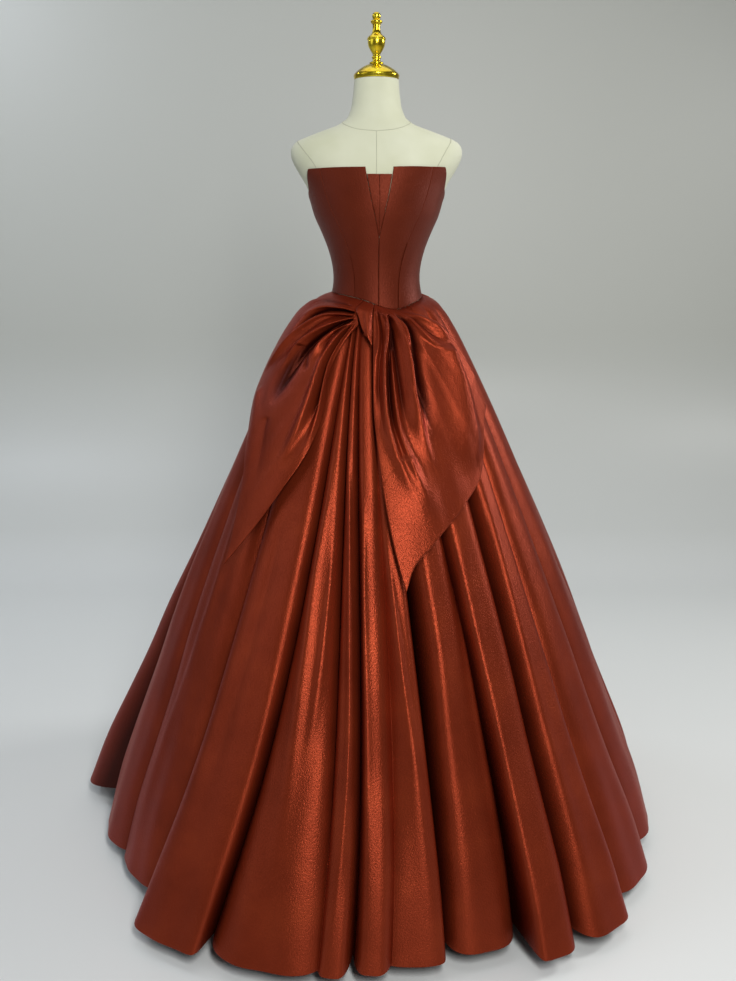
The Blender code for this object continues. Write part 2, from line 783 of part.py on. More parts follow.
def build_knot():
    """A short band of cloth, bulged across, that wraps the drapes where they meet."""
    grid = []
    for along in np.linspace(0, 1, 9):
        row = []
        for across in np.linspace(0, 1, 9):
            start, stop = outline(KNOT_LEFT, along), outline(KNOT_RIGHT, along)
            azimuth, height = start * (1 - across) + stop * across
            bulge = 0.010 * math.sin(math.pi * (0.08 + 0.84 * across)) ** 0.7
            tuck = 1 - 0.55 * abs(2 * along - 0.9) ** 2.5
            rise = min(max((fall_at(height) - 0.0006) / 0.006, 0), 1)
            rise = rise * rise * (3 - 2 * rise)
            lifted = (KNOT_LIFT - KNOT_WALL + bulge * tuck) * rise
            radius = drape_radius(azimuth, height) + KNOT_WALL + lifted
            row.append(hung(azimuth, radius, height))
        grid.append(row)
    wall("drape_knot", "satin", np.array(grid), KNOT_WALL)


# Zip at the centre back


def box(name, centre, size, group):
    mesh = bpy.data.meshes.new(name)
    work = bmesh.new()
    bmesh.ops.create_cube(work, size=1.0)
    bmesh.ops.scale(work, vec=size, verts=work.verts)
    bmesh.ops.translate(work, vec=centre, verts=work.verts)
    work.to_mesh(mesh)
    work.free()
    made = bpy.data.objects.new(name, mesh)
    group.objects.link(made)
    return made


def cross_pin(name, centre, radius, length, group, sides=24):
    """A cylinder along X."""
    mesh = bpy.data.meshes.new(name)
    work = bmesh.new()
    bmesh.ops.create_cone(
        work, cap_ends=True, segments=sides, radius1=radius, radius2=radius, depth=length
    )
    for vert in work.verts:
        x, y, z = vert.co
        vert.co = (z + centre[0], y + centre[1], -x + centre[2])
    bmesh.ops.recalc_face_normals(work, faces=work.faces)
    work.to_mesh(mesh)
    work.free()
    made = bpy.data.objects.new(name, mesh)
    group.objects.link(made)
    return made


def combine(target, other, operation):
    step = target.modifiers.new(f"{operation.lower()}_{other.name}", "BOOLEAN")
    step.operation = operation
    step.solver = "EXACT"
    step.object = other


def build_zip():
    height = edge_heights(180)[0] - ZIP_DROP
    skin = max(form_radius(180, z) for z in (height - 0.005, height, height + 0.005))
    face = skin + CLOTH_GAP + BODICE_WALL + SEAM_GAP
    centre = (0.0, face + SLIDER_SIZE[1] / 2, height)
    slider = box("zip_slider", centre, SLIDER_SIZE, PARTS)
    slider.data.materials.append(material("zip_slider", "zip_metal"))
    pin_at = (0.0, face + SLIDER_SIZE[1] + 0.0024, height - 0.0010)
    for side in (-1, 1):
        lug_at = (side * LUG_OFFSET, face + SLIDER_SIZE[1] + LUG_SIZE[1] / 2 - 0.0002, pin_at[2])
        combine(slider, box(f"lug_{side}", lug_at, LUG_SIZE, CUTTERS), "UNION")
    pin = cross_pin("slider_pin", pin_at, PIN_RADIUS, 2 * LUG_OFFSET, CUTTERS)
    combine(slider, pin, "UNION")
    pull = cross_pin("zip_pull", pin_at, EYE_RADIUS, EYE_WIDTH, PARTS, sides=32)
    pull.data.materials.append(material("zip_pull", "zip_metal"))
    tab_z = pin_at[2] - EYE_RADIUS - TAB_SIZE[2] / 2 - 0.0012
    combine(pull, box("tab", (0.0, pin_at[1], tab_z), TAB_SIZE, CUTTERS), "UNION")
    neck_size = (EYE_WIDTH, TAB_SIZE[1], 0.0050)
    combine(pull, box("neck", (0.0, pin_at[1], pin_at[2] - 0.0035), neck_size, CUTTERS), "UNION")
    combine(pull, cross_pin("eye", pin_at, EYE_HOLE, 2 * EYE_WIDTH, CUTTERS, sides=32), "DIFFERENCE")


clear_scene()
PARTS = new_collection("ball_gown_on_dress_form")
CUTTERS = new_collection("cutters", rendered=False)
build_form()
build_finial()
build_stand()
build_bodice()
build_skirt()
build_drapes()
build_knot()
build_zip()
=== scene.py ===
"""Looks of the satin ball gown and its dress form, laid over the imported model.

The skirt and the drapes share one chart: azimuth in degrees from the front, positive toward
+X, and fall, from 0 at the waist seam to 1 at the hem. Every cloth piece is a thin shell with
rounded edges whose outer face is a radius worked out on that chart."""

import bpy
import numpy as np
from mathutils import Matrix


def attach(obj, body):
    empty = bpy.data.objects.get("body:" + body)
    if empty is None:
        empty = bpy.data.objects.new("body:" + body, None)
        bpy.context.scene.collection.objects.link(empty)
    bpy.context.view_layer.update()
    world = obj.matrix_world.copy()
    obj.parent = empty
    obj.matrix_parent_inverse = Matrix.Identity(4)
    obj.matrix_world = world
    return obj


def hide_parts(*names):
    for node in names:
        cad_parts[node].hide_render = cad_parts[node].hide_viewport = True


bl_info = {
    "name": "Satin ball gown on a dress form",
    "version": (1, 0, 0),
    "blender": (4, 5, 0),
    "location": "3D View > Sidebar > Gown",
    "description": "Builds the gown's cloth, the dress form's cover and the studio round them",
    "category": "Object",
}

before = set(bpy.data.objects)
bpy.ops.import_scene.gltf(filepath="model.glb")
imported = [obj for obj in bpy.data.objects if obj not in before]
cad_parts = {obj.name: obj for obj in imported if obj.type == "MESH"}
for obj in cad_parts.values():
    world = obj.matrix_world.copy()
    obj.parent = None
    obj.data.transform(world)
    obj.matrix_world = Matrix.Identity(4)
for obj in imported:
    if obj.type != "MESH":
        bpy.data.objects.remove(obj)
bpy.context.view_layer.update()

# The garment's driving sizes as the solids have them, in metres, and its angles in degrees

SEAM_GAP = 0.0003
CLOTH_GAP = 0.0014
BODICE_WALL = 0.0022
INSERT_WALL = 0.0014
SKIRT_WALL = 0.0020
DRAPE_WALL = 0.0024
KNOT_WALL = 0.0030
KNOT_LIFT = 0.0150
WAIST_HEIGHT = 1.245
HEM_HEIGHT = 0.034
NECK_TOP = 1.708
FORM_FOOT = 0.965
INSERT_TOP = 1.505
INSERT_POINT = 1.375
INSERT_HALF_WIDTH = 12.6
FRONT_TURN = 3.0

# Where the skirt's tables give their middle values, as a share of the fall
MID_FALL = 0.45

# Tables in millimetres to metres, and the length that outlines count for a degree
MM = 0.001
METRES_PER_DEGREE = 0.004

# Shape of a crease: slant length for each metre of height, share of its width where it starts and
# its growth along it, last share of it that fades, power that narrows a trough
SLANT = 1.1
CREASE_START_WIDTH = 0.45
CREASE_WIDENING = 1.3
CREASE_FADE = 0.4
TROUGH_POWER = 0.7

# Shape of a fold: power that rounds its crest, what a degree of lean and the fall add to it, its
# limits, how far a lean carries, power of a valley's bottom and of the reach, rise of the hem
CREST_POWER = 2.7
POWER_BY_LEAN = 0.8
POWER_BY_FALL = 0.8
POWER_LIMITS = (1.8, 4.4)
LEAN_CARRY = 0.9
BOTTOM_POWER = 8
REACH_POWER = 1.5
HEM_RISE = 0.20

# Fineness: samples along a crease, points along a seam's cord, its radius, the finial's rings and
# its steps round
CREASE_STEPS = 49
CORD_STEPS = 60
CORD_RADIUS = 0.0008
FINIAL_RINGS = 181
FINIAL_STEPS = 64

# Slubs for each metre of cloth, across and along the warp
SLUB_SCALE = (310, 260, 1)

# The camera: picture height and focal length in pixels, sensor height in millimetres
PICTURE_HEIGHT = 981
FOCAL_PIXELS = 1100
SENSOR = 36.0

# Sections of the dress form: height, half width, depth in front, depth behind

FORM_SECTIONS = (
    (0.965, 0.16, 0.12, 0.128), (1.01, 0.166, 0.123, 0.134), (1.06, 0.163, 0.12, 0.131),
    (1.12, 0.149, 0.112, 0.119), (1.18, 0.126, 0.1, 0.102), (1.23, 0.105, 0.091, 0.087),
    (1.26, 0.096, 0.0875, 0.081), (1.287, 0.0922, 0.0865, 0.0785), (1.322, 0.095, 0.09, 0.0795),
    (1.356, 0.104, 0.099, 0.083), (1.39, 0.1175, 0.111, 0.088), (1.424, 0.1325, 0.1225, 0.093),
    (1.458, 0.1425, 0.1265, 0.0975), (1.49, 0.1542, 0.123, 0.101), (1.515, 0.1692, 0.116, 0.103),
    (1.535, 0.1802, 0.1088, 0.103), (1.555, 0.186, 0.099, 0.1), (1.57, 0.183, 0.091, 0.095),
    (1.58, 0.174, 0.085, 0.09), (1.592, 0.146, 0.0775, 0.083), (1.602, 0.119, 0.071, 0.077),
    (1.613, 0.088, 0.0645, 0.071), (1.625, 0.068, 0.059, 0.064), (1.642, 0.0575, 0.0545, 0.057),
    (1.672, 0.051, 0.05, 0.051), (1.708, 0.0475, 0.0475, 0.0475),
)

# Edges of the bodice: azimuth, height of its top, height of its waist seam

BODICE_EDGES = (
    (-180, 1.462, 1.262), (-120, 1.462, 1.262), (-88, 1.463, 1.262), (-76, 1.478, 1.261),
    (-66, 1.519, 1.259), (-40, 1.52, 1.254), (-15, 1.52, 1.2445), (0, 1.52, 1.2355),
    (12, 1.52, 1.229), (24, 1.521, 1.226), (38, 1.522, 1.2305), (52, 1.522, 1.2385),
    (66, 1.523, 1.2445), (76, 1.48, 1.2485), (88, 1.463, 1.253), (120, 1.462, 1.26),
    (180, 1.462, 1.262),
)

# Seams of one bodice half: share of the height, azimuths of the princess, side and back seams

BODICE_SEAMS = (
    (0.0, 30.0, 88.0, 140.0), (0.25, 33.0, 89.0, 143.0), (0.5, 39.0, 90.0, 146.0),
    (0.72, 47.0, 91.0, 149.0), (0.88, 52.0, 91.0, 150.0), (1.0, 54.0, 91.0, 150.0),
)

# Spread of the skirt: nominal height, radius of its crests before each fold's own reach

SKIRT_SPREAD = (
    (1.245, 0.101), (1.241, 0.114), (1.234, 0.13), (1.216, 0.149), (1.181, 0.173), (1.121, 0.206),
    (1.064, 0.235), (1.007, 0.263), (0.892, 0.317), (0.775, 0.37), (0.655, 0.423), (0.533, 0.474),
    (0.409, 0.522), (0.282, 0.574), (0.153, 0.626), (0.034, 0.664),
)

# Valleys between the skirt's folds, and the fold on each one's right side: name, azimuths at the
# waist, at mid height and at the hem, depths there, lean over the valley in degrees (positive
# when the right fold laps left), reach of the right fold at the hem as a share of the spread,
# how much deeper the valley's narrow bottom goes below its folds' own slopes

SKIRT_FOLDS = (
    ("centre_back", -180, -180, -180, 0.008, 0.036, 0.085, 0.0, 1.06, 0.008),
    ("back_left_1", -160, -161, -163, 0.007, 0.03, 0.062, 1.2, 1.02, 0.0),
    ("back_left_2", -141, -143, -146, 0.008, 0.04, 0.085, -1.2, 1.07, 0.012),
    ("back_left_3", -124, -126, -131, 0.006, 0.026, 0.05, 1.4, 1.04, 0.0),
    ("side_left", -108, -110, -115, 0.008, 0.04, 0.08, -1.0, 1.125, 0.01),
    ("left_1", -90, -90, -90.5, 0.006, 0.022, 0.034, 1.0, 0.965, 0.0),
    ("left_2", -71, -66, -66, 0.006, 0.016, 0.014, 1.2, 0.94, 0.0),
    ("left_3", -46, -41.5, -45.8, 0.006, 0.022, 0.034, 1.0, 1.08, 0.006),
    ("front_left", -20, -21, -29.0, 0.01, 0.018, 0.03, -3.2, 1.06, 0.022),
    ("twin_ridges", -17, -10.4, -9.2, 0.01, 0.024, 0.003, 0.0, 1.045, 0.01),
    ("slit", -13, -5.2, -4, 0.003, 0.02, 0.034, 0.0, 1.03, 0.016),
    ("centre", -4, 2.3, 2.5, 0.004, 0.008, 0.006, 0.0, 0.995, 0.0),
    ("inner_right", 3, 9.3, 12.0, 0.008, 0.066, 0.028, -1.4, 0.975, 0.034),
    ("lapped_right", 18, 24, 26.0, 0.008, 0.014, 0.022, 1.8, 1.08, 0.018),
    ("front_right", 40, 37.5, 34.5, 0.01, 0.052, 0.05, 0.4, 1.075, 0.026),
    ("right_1", 54, 48.5, 48.0, 0.008, 0.022, 0.028, -0.8, 1.005, 0.01),
    ("right_2", 68, 64, 67.5, 0.006, 0.022, 0.045, -0.8, 0.98, 0.008),
    ("side_right", 97, 94, 98, 0.008, 0.038, 0.07, 1.0, 1.03, 0.01),
    ("back_right_3", 112, 112, 114, 0.006, 0.026, 0.052, -1.2, 1.06, 0.0),
    ("back_right_2", 128, 127, 131, 0.008, 0.04, 0.085, 1.2, 1.02, 0.012),
    ("back_right_1", 146, 147, 147, 0.006, 0.028, 0.058, 1.0, 1.07, 0.0),
    ("back_centre_right", 164, 163, 164, 0.008, 0.036, 0.072, -1.2, 1.04, 0.01),
)

# Panels of the skirt, each from one seam valley to the next

SKIRT_PANELS = (
    ("skirt_back_left", "centre_back", "side_left"),
    ("skirt_side_left", "side_left", "front_left"),
    ("skirt_front", "front_left", "front_right"),
    ("skirt_side_right", "front_right", "side_right"),
    ("skirt_back_right", "side_right", "centre_back"),
)

# Creases on the skirt, positive for a ridge: height in millimetres, half widths on its left and
# right in millimetres, then the azimuth and nominal height of each of its points in turn, from
# the top down

SKIRT_CREASES = (
    (8, 15, 13, -17, 0.97, -17.2, 0.855, -18, 0.74, -17.6, 0.58, -17.4, 0.36, -18.5, 0.1),
    (5, 7, 7, -13.6, 0.8, -13, 0.69, -13, 0.58, -13.6, 0.46, -15, 0.34),
    (10, 8, 6, -13, 1.0, -10, 0.896, -8.2, 0.785, -6.5, 0.6, -5.6, 0.42, -6.4, 0.19, -7.5, 0.04),
    (9, 6, 9, -6.5, 0.93, -4.8, 0.85, -3.8, 0.7, -2.8, 0.499, -2.4, 0.32, -2, 0.1),
    (-7, 20, 16, -0.6, 0.92, 1.1, 0.79, 2.3, 0.68, 3.4, 0.536, 3.6, 0.39, 3, 0.1),
    (10, 16, 8, 2.6, 0.82, 4.4, 0.7, 6.6, 0.518, 7.8, 0.43, 8.8, 0.28, 9.6, 0.04),
    (8, 20, 26, 13.8, 0.82, 14.6, 0.726, 15.4, 0.62, 15, 0.443, 14.6, 0.233, 14.6, 0.04),
    (8, 9, 24, 26.2, 0.8, 24.8, 0.7, 24.2, 0.6, 24.4, 0.42, 24.8, 0.236, 25.4, 0.04),
    (7, 9, 20, 44, 0.9, 41.4, 0.8, 39.6, 0.7, 38.4, 0.58, 37.6, 0.32, 38.4, 0.06),
    (-12, 5, 5, 64, 1.243, 56, 1.232, 51.4, 1.207, 49.5, 1.17, 49, 1.12),
    (4, 5, 20, -57.7, 0.9, -55.2, 0.643, -56, 0.509, -58.4, 0.314, -59.6, 0.1),
    (-5, 16, 16, -33, 0.9, -32, 0.65, -34, 0.4, -36, 0.25),
    (5, 20, 28, -80, 0.9, -79, 0.6, -80, 0.3, -80, 0.08),
    (-6, 18, 18, -98, 1.05, -98, 0.7, -99, 0.45),
    (7, 14, 26, -116, 1.05, -115, 0.7, -118, 0.35, -119, 0.08),
    (-5, 16, 16, -133, 0.95, -134, 0.65, -134, 0.4),
    (6, 14, 24, -151, 1.05, -152, 0.75, -153, 0.4, -152, 0.1),
    (5, 14, 20, -171, 0.95, -172, 0.6, -173, 0.3),
    (-6, 16, 16, 84, 1.0, 82, 0.7, 80, 0.45),
    (7, 16, 24, 104, 1.05, 103, 0.7, 104, 0.35, 105, 0.08),
    (-5, 15, 15, 120, 0.95, 119, 0.7, 120, 0.42),
    (6, 14, 24, 137, 1.0, 138, 0.65, 139, 0.3, 139, 0.08),
    (-6, 18, 18, 155, 1.05, 155, 0.75, 155, 0.5),
    (6, 14, 24, 172, 1.05, 171, 0.7, 171, 0.35, 172, 0.08),
)

# Profile of the finial from its top down: radius, height

FINIAL_PROFILE = (
    (0.0, 1.8452), (0.005, 1.844), (0.0085, 1.8405), (0.0092, 1.8355), (0.0078, 1.8315),
    (0.0066, 1.8295), (0.0112, 1.8282), (0.0124, 1.8255), (0.0116, 1.8228), (0.0088, 1.8205),
    (0.0082, 1.815), (0.0084, 1.808), (0.011, 1.801), (0.017, 1.7955), (0.02, 1.7915),
    (0.0196, 1.7892), (0.0186, 1.788), (0.0187, 1.783), (0.0168, 1.775), (0.0125, 1.767),
    (0.0088, 1.761), (0.008, 1.7575), (0.0098, 1.7555), (0.01, 1.7525), (0.0084, 1.7505),
    (0.0092, 1.7465), (0.014, 1.744), (0.0152, 1.742), (0.0148, 1.74), (0.021, 1.7378),
    (0.03, 1.7335), (0.04, 1.727), (0.047, 1.7205), (0.0492, 1.7165), (0.0486, 1.713),
    (0.0478, 1.71), (0.047, 1.7086),
)

# Seams of the form above the bodice: points as azimuth and height

FORM_SEAMS = (
    ((0, 1.5955), (0, 1.560), (0, 1.530), (0, 1.500)),
    ((0, 1.5955), (30, 1.600), (60, 1.613), (90, 1.624), (120, 1.629), (180, 1.631)),
    ((0, 1.5955), (-30, 1.600), (-60, 1.613), (-90, 1.624), (-120, 1.629), (-180, 1.631)),
    ((58, 1.516), (61, 1.530), (69, 1.560), (78, 1.580), (92, 1.586), (107, 1.571), (119, 1.541)),
    ((119, 1.541), (124, 1.512), (121, 1.485), (108, 1.468), (96, 1.460)),
    ((-57, 1.512), (-60, 1.526), (-68, 1.551), (-76, 1.570), (-90, 1.583), (-106, 1.570), (-118, 1.541)),
    ((-118, 1.541), (-124, 1.512), (-121, 1.485), (-108, 1.468), (-96, 1.460)),
)

# Outlines of the drapes on the skirt's chart: azimuth, nominal height

LEFT_ROOT = ((-17, 1.245), (-16, 1.228), (-14, 1.212), (-12.5, 1.2))
LEFT_UPPER = (
    (-17, 1.245), (-24, 1.245), (-44, 1.245), (-56, 1.244), (-70, 1.229), (-84, 1.197), (-91, 1.15),
    (-90, 1.1),
)
LEFT_LOWER = (
    (-12.5, 1.2), (-18.8, 1.168), (-23.0, 1.128), (-24.0, 1.084), (-23.0, 1.036), (-23.7, 0.993),
    (-26.7, 0.939), (-32.6, 0.871), (-38.5, 0.8), (-46.9, 0.708),
)
LEFT_END = (
    (-90, 1.1), (-82, 1.055), (-69, 1.0), (-59, 0.945), (-53, 0.898), (-49.5, 0.82), (-47.1, 0.745),
    (-46.9, 0.708),
)
RIGHT_ROOT = ((-2.6, 1.245), (5, 1.245), (12, 1.245), (20, 1.245), (27, 1.245))
RIGHT_INNER = (
    (-2.6, 1.245), (-2.2, 1.17), (-1.8, 1.1), (-1.2, 1.03), (0.9, 0.943), (3.2, 0.845), (5.7, 0.76),
    (7.7, 0.703),
)
RIGHT_OUTER = (
    (27, 1.245), (33, 1.237), (40, 1.221), (46.5, 1.196), (50, 1.168), (53.5, 1.105), (57.3, 1.032),
)
RIGHT_END = (
    (7.7, 0.703), (10.9, 0.752), (16.2, 0.786), (22.6, 0.822), (28.9, 0.853), (38.6, 0.9),
    (45.1, 0.953), (50.5, 1.0), (57.3, 1.032),
)
KNOT_LEFT = ((-16.4, 1.2445), (-15.8, 1.239), (-16.4, 1.23), (-13, 1.214), (-9.5, 1.192))
KNOT_RIGHT = ((-3.1, 1.2445), (-2.8, 1.217), (-2.4, 1.19), (-2.6, 1.165))

# Creases on the drapes, in the columns of the skirt's creases

LEFT_CREASES = (
    (-7, 4, 4, -21, 1.232, -30.3, 1.233, -43.1, 1.233, -56.1, 1.231, -62.2, 1.216),
    (8, 5, 5, -15.6, 1.224, -23.3, 1.227, -30.4, 1.227, -46.2, 1.222, -54.7, 1.21, -61.8, 1.194),
    (-15, 4, 6, -16, 1.22, -29.6, 1.22, -40.6, 1.215, -49.4, 1.202, -56.9, 1.179, -61.7, 1.15),
    (12, 5, 6, -14.7, 1.217, -28.7, 1.215, -39.1, 1.209, -51.4, 1.176, -64.2, 1.113, -78, 1.07),
    (-6, 3, 3, -16, 1.214, -28.9, 1.207, -35.9, 1.198, -42.1, 1.184, -48.4, 1.159, -54, 1.129),
    (11, 6, 6, -15.4, 1.212, -22.1, 1.204, -30.6, 1.192, -38.5, 1.175, -45.3, 1.15, -54.6, 1.08),
    (-20, 5, 10, -15.6, 1.209, -23.7, 1.197, -29.6, 1.183, -41.2, 1.138, -47.3, 1.073, -49.3, 1.02),
    (9, 4, 5, -15.1, 1.208, -22.9, 1.19, -29.1, 1.179, -32.6, 1.159, -34, 1.139, -34, 1.11),
    (-8, 3, 4, -18, 1.196, -26.6, 1.176, -29.3, 1.161, -30.4, 1.142, -30.8, 1.12),
    (-6, 4, 4, -39, 1.132, -36, 1.094),
    (12, 8, 6, -15, 1.206, -20.5, 1.186, -27, 1.136, -28.7, 1.078, -29.5, 1.036, -31.5, 0.985, -37, 0.9),
    (-12, 4, 4, -15.6, 1.2, -20.9, 1.172, -25.8, 1.123, -26.4, 1.06, -27, 1.015, -29, 0.96),
    (9, 4, 4, -14.2, 1.204, -18.9, 1.18, -24.2, 1.136, -24.9, 1.078, -24.5, 1.02, -26, 0.975, -30, 0.92),
    (-8, 12, 14, -44, 1.15, -49, 1.11, -51, 1.06, -49, 1.01),
    (5, 22, 26, -68, 1.05, -58, 0.985, -52, 0.9, -48, 0.82),
    (-4, 18, 18, -50, 1.0, -46, 0.92, -44, 0.85),
)
RIGHT_CREASES = (
    (5, 4, 4, -1, 1.243, 1.1, 1.211, 1.4, 1.167, -0.3, 1.142, -1, 1.116),
    (-9, 4, 4, 0.1, 1.243, 2.9, 1.208, 3.1, 1.168, 1.9, 1.133, 1.2, 1.088, 1.6, 1.04, 3, 0.983),
    (12, 9, 5, 1.4, 1.243, 7.4, 1.225, 7, 1.187, 4.6, 1.15, 4, 1.09, 4.9, 1.016, 9.2, 0.928, 13, 0.87),
    (-15, 4, 5, 7.3, 1.241, 9.7, 1.229, 9.9, 1.198, 8.5, 1.165, 6.2, 1.09, 7, 1.013, 11.6, 0.939),
    (10, 5, 6, 8.6, 1.17, 7.9, 1.115, 8.2, 1.066, 9.1, 1.004, 13.5, 0.928, 17, 0.87),
    (-10, 7, 8, 10.8, 1.21, 10.9, 1.148, 11.4, 1.093, 11.8, 1.044, 13, 0.99),
    (13, 12, 5, 5.1, 1.243, 13.9, 1.222, 17.5, 1.189, 18.4, 1.151, 17.6, 1.07, 18.8, 0.98, 21, 0.92),
    (5, 4, 4, 7.8, 1.243, 19.2, 1.226, 20.9, 1.199, 21.2, 1.169, 22.4, 1.149),
    (-18, 4, 10, 15, 1.238, 23.1, 1.212, 23.2, 1.184, 21.8, 1.149, 20.4, 1.09, 21.7, 1.041, 23, 0.99),
    (7, 4, 4, 15.6, 1.243, 24.4, 1.235, 28.5, 1.212, 32.5, 1.188, 38, 1.168, 44, 1.15),
    (-7, 4, 5, 22, 1.24, 30.5, 1.222, 34.5, 1.202, 39.5, 1.182, 45, 1.165),
    (6, 6, 6, 23, 1.243, 31.4, 1.234, 39.8, 1.213, 44.6, 1.19, 47, 1.164),
    (12, 32, 14, 44, 1.17, 43.5, 1.1, 42, 1.036, 40, 0.975, 33, 0.9),
    (6, 26, 24, 10.8, 0.957, 13.4, 0.9, 17.7, 0.862, 23.6, 0.85),
)


# Colour and material helpers


def rgb(hex_colour):
    """Linear RGBA of an sRGB hex value."""
    parts = [int(hex_colour[i : i + 2], 16) / 255 for i in (1, 3, 5)]
    return tuple(c / 12.92 if c < 0.04045 else ((c + 0.055) / 1.055) ** 2.4 for c in parts) + (1.0,)


def wire(tree, node, inputs=None, links=None):
    """Sets a shader node's socket values and links its inputs."""
    for key, value in (inputs or {}).items():
        node.inputs[key].default_value = value
    for key, source in (links or {}).items():
        tree.links.new(source, node.inputs[key])
    return node


def add_node(tree, kind, inputs=None, links=None, **settings):
    """Adds a shader node, sets its properties and socket values, and links its inputs."""
    node = tree.nodes.new(kind)
    for key, value in settings.items():
        setattr(node, key, value)
    return wire(tree, node, inputs, links)


def new_material(name):
    made = bpy.data.materials.new(name)
    made.use_nodes = True
    return made, made.node_tree, made.node_tree.nodes["Principled BSDF"]


def ramp(tree, source, *stops):
    """Colour from a factor: stops are pairs of a place and an sRGB hex value."""
    node = add_node(tree, "ShaderNodeValToRGB", links={"Fac": source})
    elements = node.color_ramp.elements
    while len(elements) < len(stops):
        elements.new(0.5)
    for element, (place, colour) in zip(elements, stops):
        element.position = place
        element.color = rgb(colour)
    return node.outputs["Color"]


def object_place(tree):
    return add_node(tree, "ShaderNodeTexCoord").outputs["Object"]


def noise(tree, source, scale, detail, roughness=0.5):
    """Grey noise over the coordinates that the source gives."""
    inputs = {"Scale": scale, "Detail": detail, "Roughness": roughness}
    return add_node(tree, "ShaderNodeTexNoise", inputs, {"Vector": source}).outputs["Fac"]


def rescale(tree, source, low, high):
    """The middle of a noise, 0.3 to 0.7, carried to the range from low to high."""
    inputs = {"From Min": 0.3, "From Max": 0.7, "To Min": low, "To Max": high}
    return add_node(tree, "ShaderNodeMapRange", inputs, {"Value": source}).outputs["Result"]


def bump(tree, source, strength, distance):
    inputs = {"Strength": strength, "Distance": distance}
    return add_node(tree, "ShaderNodeBump", inputs, {"Height": source}).outputs["Normal"]


def satin(name, base, light, dark, rough, sheen):
    """Heavy polyester satin: its long floats of filament yarn give a flat body colour with a
    bright tinted sheen, drawn out along the warp and grainy from slubs in the weft. Deep in a
    fold, shade is painted in: a mesh attribute of the fold's depth multiplies the colour down
    toward a dark brown."""
    made, tree, shader = new_material(name)
    chart = add_node(tree, "ShaderNodeUVMap", uv_map="cloth").outputs["UV"]
    slub_map = add_node(tree, "ShaderNodeMapping", {"Scale": SLUB_SCALE}, {"Vector": chart})
    slub = noise(tree, slub_map.outputs["Vector"], 1.0, 2.0, 0.7)
    colour = ramp(tree, noise(tree, chart, 9.0, 3.0, 0.55), (0.30, dark), (0.5, base), (0.72, light))
    # Painted shade: the colour is multiplied darker the deeper the cloth lies in a fold
    painted_fold_shade = add_node(tree, "ShaderNodeAttribute", attribute_name="painted_fold_shade").outputs["Fac"]
    shade = ramp(tree, painted_fold_shade, (0.0, "#FFFFFF"), (0.5, "#B3A9A6"), (1.0, "#5A4A48"))
    colour_with_painted_shade = add_node(tree, "ShaderNodeVectorMath", links={0: colour, 1: shade}, operation="MULTIPLY")
    tangent = add_node(tree, "ShaderNodeTangent", direction_type="UV_MAP", uv_map="cloth")
    values = {
        "Metallic": sheen,
        "Specular IOR Level": 0.65,
        "Specular Tint": rgb("#FF866C"),
        "Anisotropic": 0.6,
        "Anisotropic Rotation": 0.25,
    }
    links = {
        "Base Color": colour_with_painted_shade.outputs["Vector"],
        "Roughness": rescale(tree, slub, rough - 0.07, rough + 0.09),
        "Normal": bump(tree, slub, 1.0, 0.0008),
        "Tangent": tangent.outputs["Tangent"],
    }
    wire(tree, shader, values, links)
    return made


def gown_satin(settings, name, smoother, sheen):
    """The skirt's satin in the panel's colours, made smoother by a share of roughness."""
    shades = (settings.satin_base, settings.satin_light, settings.satin_dark)
    return satin(name, *shades, settings.satin_roughness - smoother, sheen)


def form_jersey():
    """Ivory cotton jersey drawn tight over the form: matt, with a fine knit that only softens
    the light, and a faint unevenness in its shade."""
    made, tree, shader = new_material("ivory cotton jersey")
    where = object_place(tree)
    values = {"Roughness": 0.82, "Sheen Weight": 0.15, "Sheen Roughness": 0.6}
    links = {
        "Base Color": ramp(tree, noise(tree, where, 9.0, 3.0), (0.35, "#BDBEA2"), (0.68, "#C8C9B1")),
        "Normal": bump(tree, noise(tree, where, 900.0, 2.0), 0.15, 0.0003),
    }
    wire(tree, shader, values, links)
    return made


def gilt_metal():
    """Gilt brass turning: bright yellow metal with a soft hand-rubbed polish."""
    made, tree, shader = new_material("polished gilt brass")
    smear = noise(tree, object_place(tree), 60.0, 4.0)
    colour = ramp(tree, smear, (0.35, "#C4A21E"), (0.65, "#EAD23A"))
    links = {"Base Color": colour, "Roughness": rescale(tree, smear, 0.16, 0.28)}
    wire(tree, shader, {"Metallic": 1.0}, links)
    return made


def plain_finish(name, base, light, rough, metal, grain):
    """A painted, enamelled or wooden surface: two near shades in a fine grain of its own size."""
    made, tree, shader = new_material(name)
    grains = noise(tree, object_place(tree), grain, 3.0)
    colour = ramp(tree, grains, (0.35, base), (0.68, light))
    links = {"Base Color": colour, "Normal": bump(tree, grains, 0.1, 0.0002)}
    wire(tree, shader, {"Metallic": metal, "Roughness": rough}, links)
    return made


# Curves, grids and charts


def smooth_through(xs, ys, x):
    """A cubic through the points of a table, with each slope taken from its neighbours."""
    xs = np.asarray(xs, float)
    ys = np.asarray(ys, float)
    x = np.clip(np.asarray(x, float), xs[0], xs[-1])
    slope = np.gradient(ys, xs)
    i = np.clip(np.searchsorted(xs, x, side="right") - 1, 0, len(xs) - 2)
    step = xs[i + 1] - xs[i]
    t = (x - xs[i]) / step
    ends = ys[i] * (1 + 2 * t) * (1 - t) ** 2 + ys[i + 1] * t * t * (3 - 2 * t)
    return ends + step * (slope[i] * t * (1 - t) ** 2 - slope[i + 1] * t * t * (1 - t))


def column(table, index):
    return [row[index] for row in table]


def place(azimuth, radius, height):
    """World points from azimuth, radius and height, which broadcast together."""
    azimuth, radius, height = np.broadcast_arrays(azimuth, radius, height)
    a = np.radians(azimuth)
    return np.stack([radius * np.sin(a), -radius * np.cos(a), height], axis=-1)


